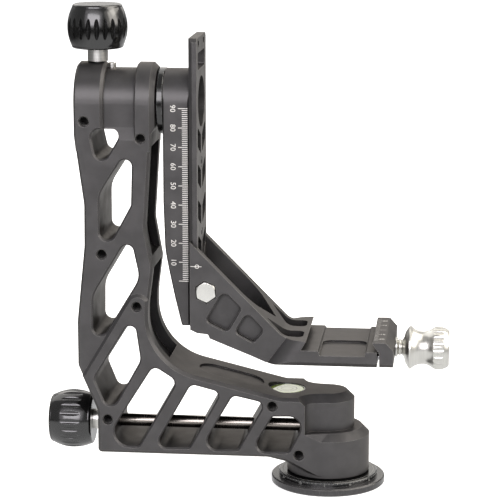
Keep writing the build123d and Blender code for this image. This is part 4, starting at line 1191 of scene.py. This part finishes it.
@dataclass
class Studio:
    """Floor, lamps, world and camera."""

    camera_place: Point = (71.25 * MM, -1074.9 * MM, 345.77 * MM)
    pitch_down: float = radians(11.6)
    yaw_left: float = radians(6.0)
    focal_mm: float = 151.92
    sensor_mm: float = 36.0
    clip_start: float = 0.05
    clip_end: float = 40.0
    floor_size: float = 14.0
    floor_middle: Point = (0.0, 3.0, 0.0)
    floor_colour: Colour = (0.9, 0.9, 0.9, 1.0)
    floor_roughness: float = 0.9
    floor_lift: float = 0.72
    far_span: Span = (0.1, 0.5)
    sheet_half: float = 0.3
    sheet_fade: float = 0.45
    sheet_front: float = 0.55
    beyond_sheet: float = 0.1
    world_level: float = 0.15
    mirrored_world: float = 0.3
    target: Point = (-0.045, 0.0, 0.125)
    lamps: List[SoftBox] = field(default_factory=lambda: [
        SoftBox("front_box", (-0.25, -1.4, 0.74), (1.3, 0.8), 14.0, (0.99, 0.96, 1.0)),
        SoftBox("front_wide_box", (-0.3, -1.6, 0.92), (2.3, 1.5), 10.0, (0.99, 0.96, 1.0)),
        SoftBox("left_rear_box", (-0.8, 1.0, 1.35), (1.5, 1.5), 8.0, (1.0, 0.98, 0.95)),
        SoftBox("top_box", (0.65, 0.2, 1.2), (1.3, 1.3), 14.0, (1.0, 0.95, 0.86)),
        SoftBox("right_box", (1.25, -0.3, 0.75), (0.9, 0.9), 8.0, (1.0, 0.95, 0.88)),
        SoftBox("right_wide_box", (1.4, -0.35, 0.85), (1.8, 1.3), 7.0, (1.0, 0.95, 0.88)),
        SoftBox("rear_box", (0.0, 2.2, 0.95), (2.6, 1.0), 8.0, (1.0, 0.96, 0.9)),
    ])

    def floor_paper(self) -> bpy.types.Material:
        """Pale paper that takes the head's shadow.

        To the camera it glows a little more with depth, and to mirrors it is a white sheet that
        fades at its front and sides.

        Returns:
            The floor's material.
        """
        graph = Graph("floor_paper")
        graph.set(Base_Color=self.floor_colour, Roughness=self.floor_roughness)
        path = graph.add("ShaderNodeLightPath")
        apart = graph.add("ShaderNodeSeparateXYZ")
        graph.link(graph.place(), apart.inputs["Vector"])
        depth = apart.outputs["Y"]

        glow = graph.add("ShaderNodeEmission")
        by_depth = graph.spread(depth, self.far_span, (self.floor_lift, 1.0))
        lift = graph.math("MULTIPLY", path.outputs["Is Camera Ray"], by_depth)
        graph.link(lift, glow.inputs["Strength"])
        seen = graph.add("ShaderNodeAddShader")
        graph.link(graph.surface.outputs["BSDF"], seen.inputs[0])
        graph.link(glow.outputs["Emission"], seen.inputs[1])

        sheet = graph.add("ShaderNodeEmission")
        aside = graph.math("ABSOLUTE", apart.outputs["X"])
        side_span = (self.sheet_half, self.sheet_half + self.sheet_fade)
        across = graph.spread(aside, side_span, (1.0, self.beyond_sheet))
        front_span = (-self.sheet_front - self.sheet_fade, -self.sheet_front)
        along = graph.spread(depth, front_span, (self.beyond_sheet, 1.0))
        graph.link(graph.math("MULTIPLY", across, along), sheet.inputs["Strength"])

        glossy, clear = path.outputs["Is Glossy Ray"], path.outputs["Is Transmission Ray"]
        pick = graph.add("ShaderNodeMixShader")
        graph.link(graph.math("MAXIMUM", glossy, clear), pick.inputs["Fac"])
        graph.link(seen.outputs["Shader"], pick.inputs[1])
        graph.link(sheet.outputs["Emission"], pick.inputs[2])
        graph.link(pick.outputs["Shader"], graph.output.inputs["Surface"])
        return graph.material

    def build_floor(self) -> None:
        """The floor that the head stands on."""
        Bench.clear()
        bpy.ops.mesh.primitive_plane_add(size=self.floor_size, location=self.floor_middle)
        floor = Bench.settle(bpy.context.object)
        floor.name = "floor"
        Bench.coat(floor, self.floor_paper())

    def build_world(self) -> None:
        """An even grey surround, a little paler to mirrors."""
        world = bpy.data.worlds.new("surround")
        world.use_nodes = True
        tree = world.node_tree
        back = tree.nodes["Background"]
        back.inputs["Color"].default_value = WHITE
        path = tree.nodes.new("ShaderNodeLightPath")
        level = tree.nodes.new("ShaderNodeMapRange")
        level.inputs["To Min"].default_value = self.world_level
        level.inputs["To Max"].default_value = self.mirrored_world
        tree.links.new(path.outputs["Is Glossy Ray"], level.inputs["Value"])
        tree.links.new(level.outputs["Result"], back.inputs["Strength"])
        bpy.context.scene.world = world

    def build_camera(self) -> None:
        """The camera at the photograph's angle."""
        data = bpy.data.cameras.new("camera")
        data.sensor_width = self.sensor_mm
        data.lens = self.focal_mm
        data.clip_start = self.clip_start
        data.clip_end = self.clip_end
        camera = bpy.data.objects.new("camera", data)
        camera.location = self.camera_place
        camera.rotation_euler = (pi / 2 - self.pitch_down, 0.0, self.yaw_left)
        bpy.context.scene.collection.objects.link(camera)
        bpy.context.scene.camera = camera

    def build(self) -> None:
        """Set up the whole studio."""
        bpy.context.scene.view_settings.view_transform = "Standard"
        self.build_camera()
        self.build_world()
        self.build_floor()
        for lamp in self.lamps:
            lamp.build(Vector(self.target))
        log.info("studio: %d lamps", len(self.lamps))


def main() -> None:
    """Set up the studio, dress the frame, and add the marks and threads."""
    logging.basicConfig(level=logging.INFO, format="%(name)s: %(message)s")
    book = FinishBook()
    Studio().build()
    SolidParts(book).dress()
    HeightScale(book).build()
    DegreeScale(book).build()
    JawScale(book).build()
    LevelRings(book).build()
    TappedHoles(book).build()


if __name__ == "__main__":
    main()
